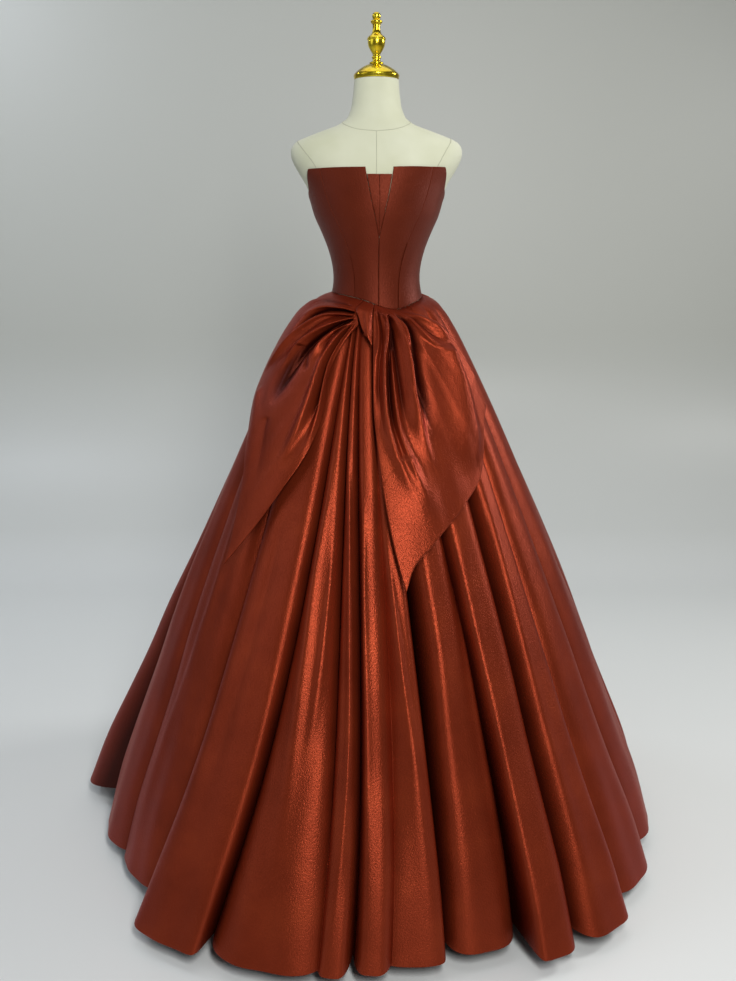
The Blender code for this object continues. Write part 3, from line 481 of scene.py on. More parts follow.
def form_radius(azimuth, height):
    """Radius of the form's section, an ellipse that is deeper or shallower behind."""
    heights = column(FORM_SECTIONS, 0)
    wide, front, back = (
        smooth_through(heights, column(FORM_SECTIONS, k), height) for k in (1, 2, 3)
    )
    a = np.radians(azimuth)
    deep = np.where(np.cos(a) > 0, front, back)
    return 1 / np.sqrt((np.sin(a) / wide) ** 2 + (np.cos(a) / deep) ** 2)


def edge_heights(azimuth):
    """Heights of the bodice's top edge and waist seam at an azimuth."""
    turn = (np.asarray(azimuth, float) + 180) % 360 - 180
    tops = np.interp(turn, column(BODICE_EDGES, 0), column(BODICE_EDGES, 1))
    waist = smooth_through(column(BODICE_EDGES, 0), column(BODICE_EDGES, 2), turn)
    return tops, waist


def fall_at(height):
    return (WAIST_HEIGHT - height) / (WAIST_HEIGHT - HEM_HEIGHT)


def nominal(fall):
    return WAIST_HEIGHT - fall * (WAIST_HEIGHT - HEM_HEIGHT)


def outline(table, share):
    """Points of a chart outline at shares of its length, which counts 1 degree as 4 mm."""
    points = np.array(table, float)
    legs = np.hypot(np.diff(points[:, 0]) * METRES_PER_DEGREE, np.diff(points[:, 1]))
    along = np.concatenate([[0], np.cumsum(legs)]) / legs.sum()
    return np.stack([smooth_through(along, points[:, k], share) for k in (0, 1)], axis=-1)


def eased(count, rim, length):
    """Shares from 0 to 1 that lie close together within the rim at each end of a length."""
    edge = rim / length * np.array([0, 0.06, 0.2, 0.45, 1.0])
    middle = np.linspace(edge[-1], 1 - edge[-1], count - 8)
    return np.concatenate([edge[:-1], middle, 1 - edge[-2::-1]])


def crease_lift(azimuth, height, spread_here, creases, start, widest):
    """Sum of the creases at chart points. Each is a bump across a smooth path: its height times
    exp(-(distance / half width) squared), narrow where it starts and widest times as wide at its
    end, growing over the start share of its length and fading over its last 0.4. A trough is
    narrower at its bottom than a ridge is at its top."""
    lift = np.zeros(np.broadcast(azimuth, height).shape)
    for tall, left, right, *points in creases:
        path = outline(np.reshape(points, (-1, 2)), np.linspace(0, 1, CREASE_STEPS))
        near = np.full(lift.shape, 1e9)
        side = np.zeros(lift.shape)
        where = np.zeros(lift.shape)
        for k in range(len(path) - 1):
            dx = np.radians(azimuth - path[k, 0]) * spread_here
            dy = (height - path[k, 1]) * SLANT
            sx = np.radians(path[k + 1, 0] - path[k, 0]) * spread_here
            sy = (path[k + 1, 1] - path[k, 1]) * SLANT
            long = np.maximum(sx * sx + sy * sy, 1e-12)
            t = np.clip((dx * sx + dy * sy) / long, 0, 1)
            gap = (dx - t * sx) ** 2 + (dy - t * sy) ** 2
            closer = gap < near
            near = np.where(closer, gap, near)
            side = np.where(closer, sx * dy - sy * dx, side)
            where = np.where(closer, (k + t) / (len(path) - 1), where)
        grown = np.minimum(CREASE_START_WIDTH + CREASE_WIDENING * where, widest)
        width = np.where(side > 0, right, left) * MM * grown
        fade = np.clip(np.minimum(where / start, (1 - where) / CREASE_FADE), 0, 1)
        fade = fade * fade * (3 - 2 * fade)
        power = 1 if tall > 0 else TROUGH_POWER
        lift += MM * tall * fade * np.exp(-((near / width**2) ** power))
    return lift


# Meshes

ALL_EDGES = ("first_row", "last_row", "first_column", "last_column")


def normals_of(points):
    """Unit normals of a grid of points, from the steps to both neighbours each way."""
    along = np.gradient(points, axis=0)
    across = np.gradient(points, axis=1)
    normal = np.cross(across, along)
    normal /= np.maximum(np.linalg.norm(normal, axis=-1, keepdims=True), 1e-12)
    out = points * [1, 1, 0]
    return normal if np.sum(normal * out) > 0 else -normal


def cloth_metres(points):
    """Chart of a grid in metres: the mean length of its rows across, of its columns along."""
    across = np.linalg.norm(np.diff(points, axis=1), axis=-1)
    along = np.linalg.norm(np.diff(points, axis=0), axis=-1)
    u = np.concatenate([np.zeros((len(points), 1)), np.cumsum(across, axis=1)], axis=1)
    v = np.concatenate([np.zeros((1, points.shape[1])), np.cumsum(along, axis=0)], axis=0)
    u -= u[:, [u.shape[1] // 2]]
    return np.stack([u, v], axis=-1)


def round_rim(points, rim, free):
    """Share of the full thickness near the grid's free edges: a quarter circle over the rim.
    free names the edges of the grid: first and last row, first and last column."""
    chart = cloth_metres(points)
    u = chart[..., 0]
    v = chart[..., 1]
    away = {
        "first_row": v - v[:1],
        "last_row": v[-1:] - v,
        "first_column": u - u[:, :1],
        "last_column": u[:, -1:] - u,
    }
    nearest = np.min([away[edge] for edge in free], axis=0)
    reach = np.clip(nearest / rim, 0, 1)
    return np.sqrt(1 - (1 - reach) ** 2)


def mesh_object(name, points, faces, *materials, sharp=None):
    """A smooth mesh in the scene. Where sharp is given, edges over that angle stay sharp."""
    mesh = bpy.data.meshes.new(name)
    mesh.from_pydata(np.asarray(points).tolist(), [], faces)
    mesh.polygons.foreach_set("use_smooth", np.ones(len(faces), bool))
    if sharp is not None:
        mesh.set_sharp_from_angle(angle=sharp)
    for material in materials:
        mesh.materials.append(material)
    made = bpy.data.objects.new(name, mesh)
    bpy.context.scene.collection.objects.link(made)
    return made


def ring_faces(rings, around, start=0):
    """Quads between rings of points that follow one another, numbered from start."""
    row = np.arange(rings - 1)[:, None] * around + start
    a = (row + np.arange(around)).ravel()
    b = (row + (np.arange(around) + 1) % around).ravel()
    return np.stack([a, a + around, b + around, b], axis=1)


def grid_object(name, outer, inner, uv, material, painted_fold_shade=None):
    """A closed shell from two matching grids, joined round their rims. The last argument, where
    given, is the share of depth in a fold at each point of the grid, kept as a point attribute
    that paints shade into the satin's colour."""
    rows, cols = outer.shape[:2]
    count = rows * cols
    a = np.arange(rows - 1)[:, None] * cols + np.arange(cols - 1)[None, :]
    face = np.stack([a, a + 1, a + cols + 1, a + cols], axis=-1).reshape(-1, 4)
    border = np.concatenate(
        [
            np.arange(cols),
            np.arange(2, rows + 1) * cols - 1,
            rows * cols - 2 - np.arange(cols - 1),
            np.arange(rows - 2, -1, -1) * cols,
        ]
    )
    rim = np.stack([border[:-1], border[:-1] + count, border[1:] + count, border[1:]], axis=-1)
    faces = np.concatenate([face, face[:, ::-1] + count, rim])
    points = np.concatenate([outer.reshape(-1, 3), inner.reshape(-1, 3)])
    a, b, c, d = (points[faces[:, k]] for k in range(4))
    if np.sum(np.cross(c - a, d - b) * (a + b + c + d)) < 0:
        faces = faces[:, ::-1]
    made = mesh_object(name, points, faces.tolist(), material)
    chart = made.data.uv_layers.new(name="cloth")
    uvs = np.concatenate([uv.reshape(-1, 2)] * 2)
    chart.data.foreach_set("uv", uvs[faces.ravel()].astype(np.float32).ravel())
    if painted_fold_shade is not None:
        depth = made.data.attributes.new("painted_fold_shade", "FLOAT", "POINT")
        depth.data.foreach_set("value", np.tile(painted_fold_shade.ravel(), 2).astype(np.float32))
    return made


def cloth_shell(name, face, wall, rim, material, free=ALL_EDGES, painted_fold_shade=None):
    """A shell of cloth whose outer face is the grid: half the wall lies on each side of a middle
    sheet, and both sides meet in a rounded edge over the rim's width where the edge is free."""
    normal = normals_of(face)
    middle = face - normal * wall / 2
    half = (round_rim(face, rim, free) * wall / 2)[..., None]
    outer, inner = middle + normal * half, middle - normal * half
    return grid_object(name, outer, inner, cloth_metres(face), material, painted_fold_shade)


def declare(piece, nodes, body="gown_on_form"):
    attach(piece, body)
    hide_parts(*nodes)


# The skirt's surface


def by_fall(rows, first, fall):
    """A parabola through three columns of a table's rows, from the first one: the values at the
    waist, at the middle fall and at the hem."""
    top, middle, hem = rows[:, first], rows[:, first + 1], rows[:, first + 2]
    low = (fall - MID_FALL) * (fall - 1) / MID_FALL
    mid = fall * (fall - 1) / (MID_FALL * (MID_FALL - 1))
    high = fall * (fall - MID_FALL) / (1 - MID_FALL)
    return top * low + middle * mid + hem * high


def spread(fall, azimuth):
    """Radius of the skirt without folds: the waist seam's own oval above, a circle below."""
    heights, radii = column(SKIRT_SPREAD, 0)[::-1], column(SKIRT_SPREAD, 1)[::-1]
    round_part = smooth_through(heights, radii, nominal(fall))
    seam = form_radius(azimuth, edge_heights(azimuth)[1]) + CLOTH_GAP + BODICE_WALL
    return round_part + (seam - SKIRT_SPREAD[0][1]) * np.exp(-fall * 14)


def covered(azimuth):
    """1 where a drape lies over the skirt's top, fading to 0 beside it."""
    turn = (azimuth + 180) % 360 - 180
    return np.clip(np.minimum((turn + 60) / 3, (29 - turn) / 2), 0, 1)


def crest_power(lean, fall):
    return np.clip(CREST_POWER + POWER_BY_LEAN * lean, *POWER_LIMITS) + POWER_BY_FALL * fall


def skirt_grid(fold, across, fall):
    """Chart points of the skirt. Each fold is broad and round between two narrow valleys: from
    its crest the radius drops toward a valley by a power of the distance, and a lean carries
    one side over its valley. fold and across are rows, fall is a column."""
    table = np.array([row[1:] for row in SKIRT_FOLDS])
    again = table[0] + [360, 360, 360, 0, 0, 0, 0, 0, 0]
    here = table[fold]
    there = np.concatenate([table, [again]])[fold + 1]
    before = table[fold - 1]
    left = by_fall(here, 0, fall)
    right = by_fall(there, 0, fall)
    grown = fall**REACH_POWER
    reach_before, reach, reach_after = (1 + (row[:, 7] - 1) * grown for row in (before, here, there))
    near_left = np.minimum(across / 0.5, 1)
    near_right = np.minimum((1 - across) / 0.5, 1)
    lap = np.maximum(here[:, 6], 0) * np.sin(np.pi * near_left)
    lap = lap + np.minimum(there[:, 6], 0) * np.sin(np.pi * near_right)
    azimuth = left + across * (right - left) - LEAN_CARRY * fall * lap
    size = spread(fall, azimuth)
    crest = size * reach
    opening = np.minimum(fall / 0.03, 1)
    left_drop = opening * by_fall(here, 3, fall)
    left_drop = left_drop + crest - size * np.minimum(reach_before, reach)
    right_drop = opening * by_fall(there, 3, fall)
    right_drop = right_drop + crest - size * np.minimum(reach, reach_after)
    into_left = (1 - near_left) ** crest_power(here[:, 6], fall)
    into_right = (1 - near_right) ** crest_power(-there[:, 6], fall)
    drop = left_drop * into_left + right_drop * into_right
    bottom = here[:, 8] * (1 - near_left) ** BOTTOM_POWER + there[:, 8] * (1 - near_right) ** BOTTOM_POWER
    drop = drop + bottom * np.clip(fall / 0.25 - 0.3, 0, 1)
    under = covered(azimuth)
    tuck = 0.008 * np.exp(-fall * 22) * np.minimum(fall / 0.008, 1) * under
    top = edge_heights(azimuth)[1] - SEAM_GAP - under * 0.0010
    height = top + (HEM_HEIGHT + HEM_RISE * drop - top) * fall
    return azimuth, crest - drop - tuck, height, drop


def skirt_face(first, last, columns, rows):
    """Outer face of the skirt from one valley to another, with its creases and a slow waver,
    and how deep in a fold each point lies, which sets the shade painted into the satin there."""
    steps = 0.5 - 0.5 * np.cos(np.linspace(0, 1, columns, endpoint=False) * np.pi)
    fold = np.repeat(np.arange(first, last), columns)
    across = np.tile(steps, last - first)
    fold = np.append(fold, last - 1)
    across = np.append(across, 1.0)
    fall = np.concatenate([np.linspace(0, 0.06, 14)[:-1], np.linspace(0.06, 1, rows - 17)])
    fall = np.concatenate([fall, [0.9985, 0.9993, 0.9998]])
    fall = np.sort(fall)[:, None]
    azimuth, radius, height, drop = skirt_grid(fold, across, fall)
    lift = crease_lift(azimuth, nominal(fall) + 0 * azimuth, radius, SKIRT_CREASES, 0.35, 1.3)
    waver = np.sin(azimuth * 0.61 + 9.0 * fall) * np.sin(azimuth * 0.23 - 14.0 * fall + 1.0)
    waver = waver * np.sin(np.pi * across) ** 0.4
    radius = radius + np.minimum(fall / 0.05, 1) * (lift + 0.0022 * waver * fall)
    # Painted shade: a point's depth in a fold or crease trough, which darkens the satin's colour
    painted_fold_shade = np.clip((drop - np.minimum(lift, 0) - 0.015) / 0.055, 0, 1)
    gap = np.degrees(0.5 * SEAM_GAP / radius)
    azimuth[:, 0] += gap[:, 0]
    azimuth[:, -1] -= gap[:, -1]
    turned_in = np.array([0.010, 0.005, 0.0015]) * np.minimum(fall / 0.03, 1)
    azimuth, height = (np.pad(grid, ((0, 0), (3, 3)), "edge") for grid in (azimuth, height))
    radius = np.pad(radius, ((0, 0), (3, 3)), "edge")
    radius[:, :3] -= turned_in
    radius[:, -3:] -= turned_in[:, ::-1]
    return place(azimuth, radius, height), np.pad(painted_fold_shade, ((0, 0), (3, 3)), "edge")


# The drapes' surface


def coons(root, end, first, last, across, along):
    """Chart points inside four outlines: the ruled blend of each pair, less the corners' own."""
    a, b = outline(root, across)[None], outline(end, across)[None]
    c, d = outline(first, along)[:, None], outline(last, along)[:, None]
    u, v = across[None, :, None], along[:, None, None]
    p, q, r, s = (np.array(point, float) for point in (root[0], root[-1], end[0], end[-1]))
    flat = (p * (1 - u) + q * u) * (1 - v) + (r * (1 - u) + s * u) * v
    return a * (1 - v) + b * v + c * (1 - u) + d * u - flat


def drape_radius(azimuth, height):
    """Radius just clear of the skirt's crests at a nominal height."""
    fall = np.maximum(fall_at(height), 0)
    under_seam = BODICE_WALL * (1 - np.minimum(fall / 0.004, 1))
    clear = 0.0030 * np.minimum(fall / 0.012, 1)
    return spread(fall, azimuth) * (1 + 0.09 * fall) + clear - under_seam


def hung(azimuth, radius, height):
    """World points of a drape, whose nominal height counts down from the waist seam there."""
    top = edge_heights(azimuth)[1] - SEAM_GAP
    return place(azimuth, radius, top + (HEM_HEIGHT - top) * fall_at(height))


def drape_face(outlines, creases, puff, stand, columns, rows):
    """Outer face of a drape: its base lies over the skirt, puffed between its edges, and stands
    off it toward its last column. Also how deep in a crease's trough each point lies, which sets
    the shade painted into the satin there."""
    across = eased(columns, 0.012, 0.45)
    along = eased(rows, 0.012, 0.55)
    chart = coons(*outlines, across, along)
    azimuth = chart[..., 0]
    height = np.minimum(chart[..., 1], WAIST_HEIGHT)
    base = drape_radius(azimuth, height)
    u, v = across[None, :], along[:, None]
    loose = np.minimum(fall_at(height) / 0.01, 1)
    bulge = 0.010 + puff * np.sin(np.pi * u) ** 0.7 * np.sin(np.pi * np.minimum(v * 0.9, 1))
    outward = np.clip((u - 0.5) / 0.5, 0, 1) ** 1.5 * np.clip(np.minimum(v / 0.25, (1.15 - v) / 0.4), 0, 1)
    bulge = bulge + stand * outward
    lift = 1.3 * crease_lift(azimuth, height, base, creases, 0.06, 1.4)
    raised = bulge + np.where(lift < 0, lift * 0.85, lift)
    kept_off = 0.5 * (raised + np.hypot(raised, 0.006)) + 0.0010
    radius = base + loose * kept_off + DRAPE_WALL
    # Painted shade: the deeper a crease's trough, the darker the satin's colour there
    return hung(azimuth, radius, height), np.clip((-lift - 0.002) / 0.012, 0, 1)


# Sizes and colours that a user would change


class GownSettings(bpy.types.PropertyGroup):
    """Colours and fineness of the gown."""

    satin_base: bpy.props.StringProperty(
        name="Satin", description="Middle shade of the skirt's satin, as sRGB hex", default="#762A15"
    )
    satin_light: bpy.props.StringProperty(
        name="Satin light", description="Lighter shade of the satin, as sRGB hex", default="#7E2F17"
    )
    satin_dark: bpy.props.StringProperty(
        name="Satin dark", description="Darker shade of the satin, as sRGB hex", default="#6E2612"
    )
    satin_roughness: bpy.props.FloatProperty(
        name="Satin roughness", description="Spread of the sheen", default=0.37, subtype="FACTOR"
    )
    fold_columns: bpy.props.IntProperty(
        name="Columns a fold", description="Grid columns across each skirt fold", default=38
    )
    skirt_rows: bpy.props.IntProperty(
        name="Skirt rows", description="Grid rows from waist to hem", default=120
    )


class StageSettings(bpy.types.PropertyGroup):
    """Camera and lights."""

    camera_distance: bpy.props.FloatProperty(
        name="Camera distance", description="From the form's axis", default=2.49, unit="LENGTH"
    )
    camera_height: bpy.props.FloatProperty(
        name="Camera height", description="Above the floor", default=1.32, unit="LENGTH"
    )
    camera_pitch: bpy.props.FloatProperty(
        name="Camera pitch", description="Angle down from level", default=0.2025, subtype="ANGLE"
    )
    key_power: bpy.props.FloatProperty(
        name="Key light", description="Power of the front light, in watts", default=68.0
    )


# Operators, one for each piece or group of like pieces


def seam_tube(path, count):
    """A thin cord along a path of azimuths and heights on the form: six points round it at each
    of its steps, and its faces, numbered from count."""
    chart = outline(path, np.linspace(0, 1, CORD_STEPS))
    middle = place(chart[:, 0], form_radius(chart[:, 0], chart[:, 1]), chart[:, 1])
    ahead = np.gradient(middle, axis=0)
    ahead /= np.linalg.norm(ahead, axis=1, keepdims=True)
    outward = place(chart[:, 0], 1.0, 0.0)
    beside = np.cross(ahead, outward)
    beside /= np.linalg.norm(beside, axis=1, keepdims=True)
    outward = np.cross(beside, ahead)
    turn = np.radians(np.arange(6) * 60)[None, :, None]
    across = np.cos(turn) * beside[:, None] + np.sin(turn) * outward[:, None]
    ring = middle[:, None] + CORD_RADIUS * across
    faces = ring_faces(CORD_STEPS, 6, count).tolist()
    faces.append([count + k for k in range(6)])
    faces.append([count + (CORD_STEPS - 1) * 6 + k for k in range(6)][::-1])
    return ring.reshape(-1, 3), faces


class GOWN_OT_form(bpy.types.Operator):
    """Cover the dress form's torso and draw its seams"""

    bl_idname = "gown.form"
    bl_label = "Dress form cover"

    def execute(self, context):
        heights = [FORM_FOOT + 0.012, FORM_FOOT + 0.018]
        heights = np.concatenate([heights, np.linspace(FORM_FOOT + 0.03, NECK_TOP, 150)])
        azimuth = np.linspace(-180, 180, 145)
        radius = form_radius(azimuth[None, :], heights[:, None])
        tube = place(azimuth[None, :], radius, heights[:, None])
        cap = tube[-1:] * [0.5, 0.5, 1]
        foot = tube[:1] * [0.5, 0.5, 1]
        points = np.concatenate([foot, tube, cap])
        rows, cols = points.shape[:2]
        cols -= 1
        body = points[:, :-1].reshape(-1, 3)
        faces = ring_faces(rows, cols)[:, [0, 3, 2, 1]].tolist()
        faces.append(list(range(cols))[::-1])
        faces.append(list(range((rows - 1) * cols, rows * cols)))
        plain = len(faces)
        for path in FORM_SEAMS:
            cord, sides = seam_tube(path, len(body))
            body = np.concatenate([body, cord])
            faces += sides
        thread = plain_finish("ivory sewing thread", "#A5A58F", "#B0B09A", 0.8, 0.0, 800.0)
        made = mesh_object("form_cover", body, faces, form_jersey(), thread, sharp=0.9)
        of_thread = np.arange(len(faces)) >= plain
        made.data.polygons.foreach_set("material_index", of_thread.astype(np.int32))
        declare(made, ["form_torso"])
        return {"FINISHED"}


class GOWN_OT_metal(bpy.types.Operator):
    """Finish the form's metal and wooden parts and the zip's"""

    bl_idname = "gown.metal"
    bl_label = "Finial, stand and zip"

    def execute(self, context):
        self.finial()
        paint = plain_finish("black painted steel", "#1E1E1E", "#2A2A2A", 0.45, 0.0, 300.0)
        board = plain_finish("birch ply", "#9A7B55", "#B59468", 0.6, 0.0, 40.0)
        enamel = plain_finish("red enamelled zip metal", "#5A2116", "#6E2A1C", 0.35, 0.5, 500.0)
        finishes = {
            "form_pole": paint,
            "form_base": paint,
            "form_bottom_board": board,
            "zip_slider": enamel,
            "zip_pull": enamel,
        }
        for node, finish in finishes.items():
            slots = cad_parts[node].data.materials
            for k in range(len(slots)):
                slots[k] = finish
            if not len(slots):
                slots.append(finish)
        return {"FINISHED"}

    def finial(self):
        """The finial turned finer: its profile is a curve through the table, swept in steps."""
        share = np.arange(len(FINIAL_PROFILE))
        fine = np.linspace(0, share[-1], FINIAL_RINGS)
        radius, height = (smooth_through(share, column(FINIAL_PROFILE, k), fine) for k in (0, 1))
        radius = np.maximum(radius, 0.0)
        azimuth = np.arange(FINIAL_STEPS) * (360 / FINIAL_STEPS)
        rings = place(azimuth[None, :], radius[1:, None], height[1:, None])
        points = np.concatenate([[[0, 0, height[0]]], rings.reshape(-1, 3), [[0, 0, height[-1]]]])
        faces = ring_faces(FINIAL_RINGS - 1, FINIAL_STEPS, 1).tolist()
        last = len(points) - 1
        for k in range(FINIAL_STEPS):
            after = (k + 1) % FINIAL_STEPS
            faces.append([0, 1 + k, 1 + after])
            faces.append([last, last - FINIAL_STEPS + after, last - FINIAL_STEPS + k])
        made = mesh_object("gilt_finial", points, faces, gilt_metal(), sharp=0.7)
        declare(made, ["form_finial"])


class GOWN_OT_bodice(bpy.types.Operator):
    """Lay the bodice panels and the insert over the form"""

    bl_idname = "gown.bodice"
    bl_label = "Bodice"

    def execute(self, context):
        cloth = satin("bodice satin", "#521D0E", "#582010", "#4C1A0C", 0.50, 0.18)
        for side, half in ((-1, "left"), (1, "right")):
            bounds = [insert_edge, seam(1), seam(2), seam(3), centre_back]
            for k, label in enumerate(("front", "side_front", "side_back", "back")):
                grid = panel_chart(bounds[k], bounds[k + 1], side, 70, 44)
                self.panel(f"bodice_{label}_{half}", grid, BODICE_WALL, 0.0012 if k == 0 else 0.0006, cloth)
            grid = panel_chart(centre_front, insert_side, side, 60, 30, INSERT_TOP, INSERT_POINT + 0.003)
            self.panel(f"bodice_insert_{half}", grid, INSERT_WALL, 0.0008, cloth)
        return {"FINISHED"}

    def panel(self, node, grid, wall, rim, cloth):
        azimuth = grid[..., 0].copy()
        height = grid[..., 1]
        left, right = (0, -1) if azimuth[0, -1] > azimuth[0, 0] else (-1, 0)
        half_gap = np.degrees(0.5 * SEAM_GAP / form_radius(azimuth, height))
        azimuth[:, left] += half_gap[:, left]
        azimuth[:, right] -= half_gap[:, right]
        radius = form_radius(azimuth, height) + CLOTH_GAP + wall
        face = place(azimuth, radius, height)
        made = cloth_shell(node.replace("bodice", "satin_bodice"), face, wall, rim, cloth)
        declare(made, [node])


def insert_edge(share, height, side):
    """Azimuth of the folded front edge: the V's half width, narrowing to its point."""
    part = (height - INSERT_POINT) / (INSERT_TOP - INSERT_POINT)
    return side * FRONT_TURN + INSERT_HALF_WIDTH * np.clip(part, 0, 1.1)


def insert_side(share, height, side):
    """Azimuth of the insert's side, just behind the folded front edge."""
    turned = side * FRONT_TURN
    return turned + (insert_edge(share, height, side) - turned) * 0.985 - 0.05


def centre_front(share, height, side):
    return side * FRONT_TURN


def centre_back(share, height, side):
    return 180.0


def seam(index):
    """A function like those above, for the seam in one column of the bodice's seams."""
    shares, azimuths = column(BODICE_SEAMS, 0), column(BODICE_SEAMS, index)
    return lambda share, height, side: smooth_through(shares, azimuths, share)


def panel_chart(low, high, side, rows, columns, top_limit=None, low_limit=None):
    """Azimuth and height between two seams, from the waist up: the height runs between the
    bodice's edges at each azimuth, which in turn lies between the seams at that height."""
    share = eased(rows, 0.004, 0.26)[:, None]
    across = eased(columns, 0.004, 0.1)[None, :]
    height = np.full((rows, columns), 1.4)
    for _ in range(12):
        start, stop = low(share, height, side), high(share, height, side)
        azimuth = start + (stop - start) * across
        top, waist = edge_heights(side * azimuth)
        top = top if top_limit is None else top_limit
        waist = waist if low_limit is None else low_limit
        height = waist + (top - waist) * share + 0 * azimuth
    return np.stack([side * azimuth, height], axis=-1)


class GOWN_OT_skirt(bpy.types.Operator):
    """Hang the pleated skirt's five panels from the waist seam"""

    bl_idname = "gown.skirt"
    bl_label = "Skirt"

    def execute(self, context):
        settings = context.scene.gown
        cloth = gown_satin(settings, "heavy copper satin", 0.0, 0.50)
        names = column(SKIRT_FOLDS, 0)
        for node, start, stop in SKIRT_PANELS:
            first = names.index(start)
            last = names.index(stop) or len(names)
            face, painted_fold_shade = skirt_face(first, last, settings.fold_columns, settings.skirt_rows)
            label = node.replace("skirt", "satin_skirt")
            made = cloth_shell(label, face, SKIRT_WALL, 0.0015, cloth, ("last_row",), painted_fold_shade)
            declare(made, [node])
        return {"FINISHED"}


class GOWN_OT_drapes(bpy.types.Operator):
    """Lay the two leaves of the drape and the knot that gathers them"""

    bl_idname = "gown.drapes"
    bl_label = "Drapes and knot"

    def execute(self, context):
        cloth = gown_satin(context.scene.gown, "copper satin of the drape", 0.03, 0.52)
        left = (LEFT_ROOT, LEFT_END, LEFT_UPPER, LEFT_LOWER)
        right = (RIGHT_ROOT, RIGHT_END, RIGHT_INNER, RIGHT_OUTER)
        rows = (
            ("drape_left", left, LEFT_CREASES, 0.018, 0.0, ALL_EDGES[1:3]),
            ("drape_right", right, RIGHT_CREASES, 0.010, 0.020, ALL_EDGES[1:]),
        )
        for node, outlines, creases, puff, stand, free in rows:
            face, painted_fold_shade = drape_face(outlines, creases, puff, stand, 200, 180)
            made = cloth_shell("satin_" + node, face, DRAPE_WALL, 0.002, cloth, free, painted_fold_shade)
            declare(made, [node])
        face = self.knot_face()
        made = cloth_shell("satin_drape_knot", face, KNOT_WALL, 0.002, cloth, ALL_EDGES[1:])
        declare(made, ["drape_knot"])
        return {"FINISHED"}

    def knot_face(self):
        """The knot's band: bulged across, tucked in at both ends."""
        across, along = eased(50, 0.003, 0.03), eased(60, 0.003, 0.07)
        start, stop = outline(KNOT_LEFT, along)[:, None], outline(KNOT_RIGHT, along)[:, None]
        u, v = across[None, :], along[:, None]
        chart = start * (1 - u[..., None]) + stop * u[..., None]
        bulge = 0.010 * np.sin(np.pi * (0.08 + 0.84 * u)) ** 0.7
        tuck = 1 - 0.55 * np.abs(2 * v - 0.9) ** 2.5
        rise = np.clip((fall_at(chart[..., 1]) - 0.0006) / 0.006, 0, 1)
        rise = rise * rise * (3 - 2 * rise)
        folds = 0.0022 * np.sin(np.pi * (u * 3.2 + 0.5 * v)) * np.sin(np.pi * v) ** 0.5
        lifted = (KNOT_LIFT - KNOT_WALL + bulge * tuck + folds) * rise
        radius = drape_radius(chart[..., 0], chart[..., 1]) + KNOT_WALL + lifted
        return hung(chart[..., 0], radius, chart[..., 1])


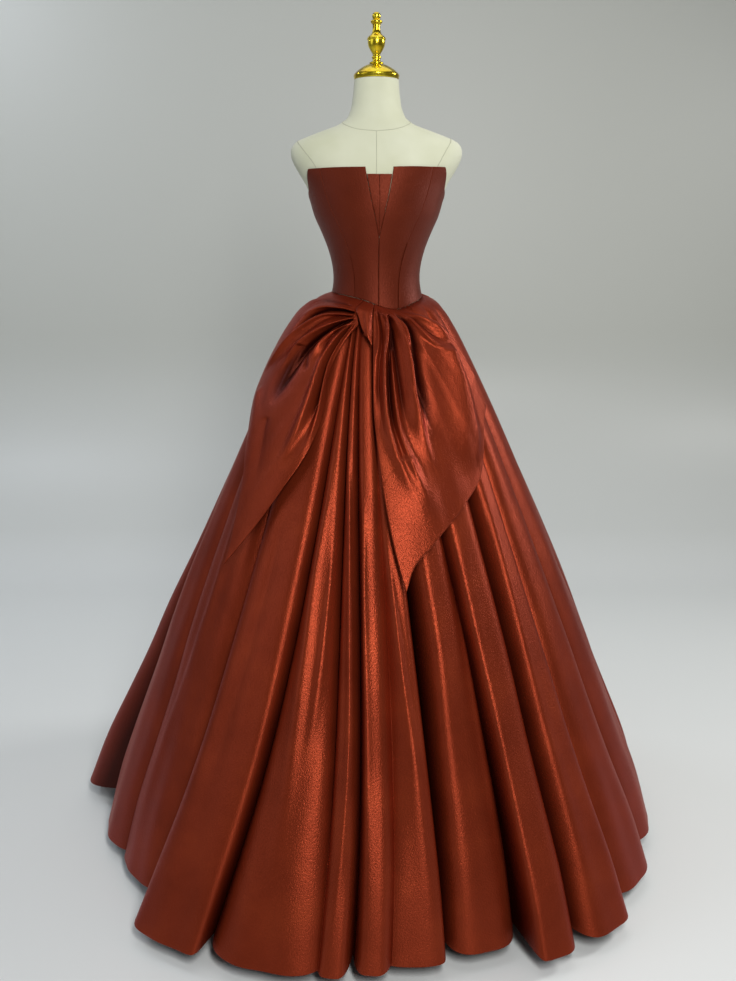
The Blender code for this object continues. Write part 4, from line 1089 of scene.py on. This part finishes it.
class GOWN_OT_stage(bpy.types.Operator):
    """Set the pale floor, the wall, the soft lights and the camera"""

    bl_idname = "gown.stage"
    bl_label = "Stage"

    def execute(self, context):
        settings = context.scene.gown_stage
        self.sweep()
        self.lights(context, settings)
        camera = bpy.data.objects.new("camera", bpy.data.cameras.new("camera"))
        context.scene.collection.objects.link(camera)
        camera.location = (0.0, -settings.camera_distance, settings.camera_height)
        camera.rotation_euler = (np.pi / 2 - settings.camera_pitch, 0.0, 0.0)
        camera.data.sensor_fit = "VERTICAL"
        camera.data.sensor_height = SENSOR
        camera.data.lens = FOCAL_PIXELS / PICTURE_HEIGHT * SENSOR
        camera.data.shift_x = -8.5 / PICTURE_HEIGHT
        context.scene.camera = camera
        context.scene.view_settings.view_transform = "Standard"
        return {"FINISHED"}

    def sweep(self):
        """A floor that curves up into a wall behind: a profile of floor, quarter circle and
        wall, drawn out sideways. The wall's paint shows on its front only, so that it hides
        nothing from behind."""
        bend = np.radians(np.linspace(0, 90, 25))
        profile = np.concatenate(
            [
                [[-4.5, 0.0]],
                np.stack([1.9 + 0.9 * np.sin(bend), 0.9 - 0.9 * np.cos(bend)], axis=1),
                [[2.8, 5.0]],
            ]
        )
        points = np.zeros((len(profile), 2, 3))
        points[..., 0] = [-6.0, 6.0]
        points[..., 1:] = profile[:, None]
        k = np.arange(len(profile) - 1)[:, None] * 2
        faces = (k + [0, 1, 3, 2]).tolist()
        made, tree, shader = new_material("pale matt paint")
        tall = add_node(tree, "ShaderNodeSeparateXYZ", links={"Vector": object_place(tree)})
        wall = add_node(tree, "ShaderNodeMath", {1: 0.7}, {0: tall.outputs["Z"]}, operation="MULTIPLY")
        shade = ramp(tree, wall.outputs[0], (0.0, "#DEE0DE"), (0.1, "#D2D4D0"), (0.7, "#BDBEB6"))
        wire(tree, shader, {"Roughness": 0.42}, {"Base Color": shade})
        facing = add_node(tree, "ShaderNodeNewGeometry").outputs["Backfacing"]
        clear = add_node(tree, "ShaderNodeBsdfTransparent").outputs["BSDF"]
        mixed = {0: facing, 1: shader.outputs["BSDF"], 2: clear}
        shown = add_node(tree, "ShaderNodeMixShader", links=mixed).outputs["Shader"]
        wire(tree, tree.nodes["Material Output"], links={"Surface": shown})
        mesh_object("studio_sweep", points.reshape(-1, 3), faces, made)

    def lights(self, context, settings):
        """Softboxes: name, place, aim, width, height, power, colour."""
        boxes = (
            ("key", (0.45, -2.65, 2.25), (0.0, 0, 0.7), 0.4, 1.5, settings.key_power, "#FFFFFF"),
            ("side", (2.7, 0.4, 2.4), (0.1, 0, 1.0), 0.7, 0.7, 42.0, "#FFFFFF"),
            ("fill_left", (-2.6, -1.2, 2.2), (0, 0, 1.2), 1.6, 2.2, 14.0, "#EAF1FF"),
            ("overhead", (0.0, 0.3, 3.8), (0, 0, 0.8), 2.6, 2.6, 24.0, "#FFFFFF"),
            ("wall_left", (-2.5, 1.0, 3.0), (-1.7, 2.8, 1.0), 1.0, 1.0, 26.0, "#EAF1FF"),
        )
        for name, spot, aim, wide, tall, power, tint in boxes:
            data = bpy.data.lights.new(name, "AREA")
            data.shape = "RECTANGLE"
            data.size = wide
            data.size_y = tall
            data.energy = power
            data.color = rgb(tint)[:3]
            lamp = bpy.data.objects.new(name, data)
            context.scene.collection.objects.link(lamp)
            lamp.location = spot
            toward = np.array(aim, float) - np.array(spot, float)
            flat = np.hypot(toward[0], toward[1])
            lamp.rotation_euler = (
                float(np.arctan2(flat, -toward[2])),
                0.0,
                float(np.arctan2(-toward[0], toward[1])),
            )
        world = bpy.data.worlds.new("studio air")
        world.use_nodes = True
        ground = world.node_tree.nodes["Background"]
        ground.inputs["Color"].default_value = rgb("#DDE2E6")
        ground.inputs["Strength"].default_value = 0.19
        context.scene.world = world


class GOWN_PT_panel(bpy.types.Panel):
    """Lists the gown's operators and settings."""

    bl_label = "Ball gown"
    bl_idname = "GOWN_PT_panel"
    bl_space_type = "VIEW_3D"
    bl_region_type = "UI"
    bl_category = "Gown"

    def draw(self, context):
        for group in (context.scene.gown, context.scene.gown_stage):
            for name in group.__annotations__:
                self.layout.prop(group, name)
        for step in STEPS:
            self.layout.operator(step.bl_idname)


STEPS = (GOWN_OT_stage, GOWN_OT_form, GOWN_OT_metal, GOWN_OT_bodice, GOWN_OT_skirt, GOWN_OT_drapes)
CLASSES = (GownSettings, StageSettings) + STEPS + (GOWN_PT_panel,)


def register():
    for cls in CLASSES:
        bpy.utils.register_class(cls)
    bpy.types.Scene.gown = bpy.props.PointerProperty(type=GownSettings)
    bpy.types.Scene.gown_stage = bpy.props.PointerProperty(type=StageSettings)


def unregister():
    del bpy.types.Scene.gown_stage
    del bpy.types.Scene.gown
    for cls in reversed(CLASSES):
        bpy.utils.unregister_class(cls)


def main():
    register()
    bpy.ops.gown.stage()
    bpy.ops.gown.form()
    bpy.ops.gown.metal()
    bpy.ops.gown.bodice()
    bpy.ops.gown.skirt()
    bpy.ops.gown.drapes()


if __name__ == "__main__":
    main()
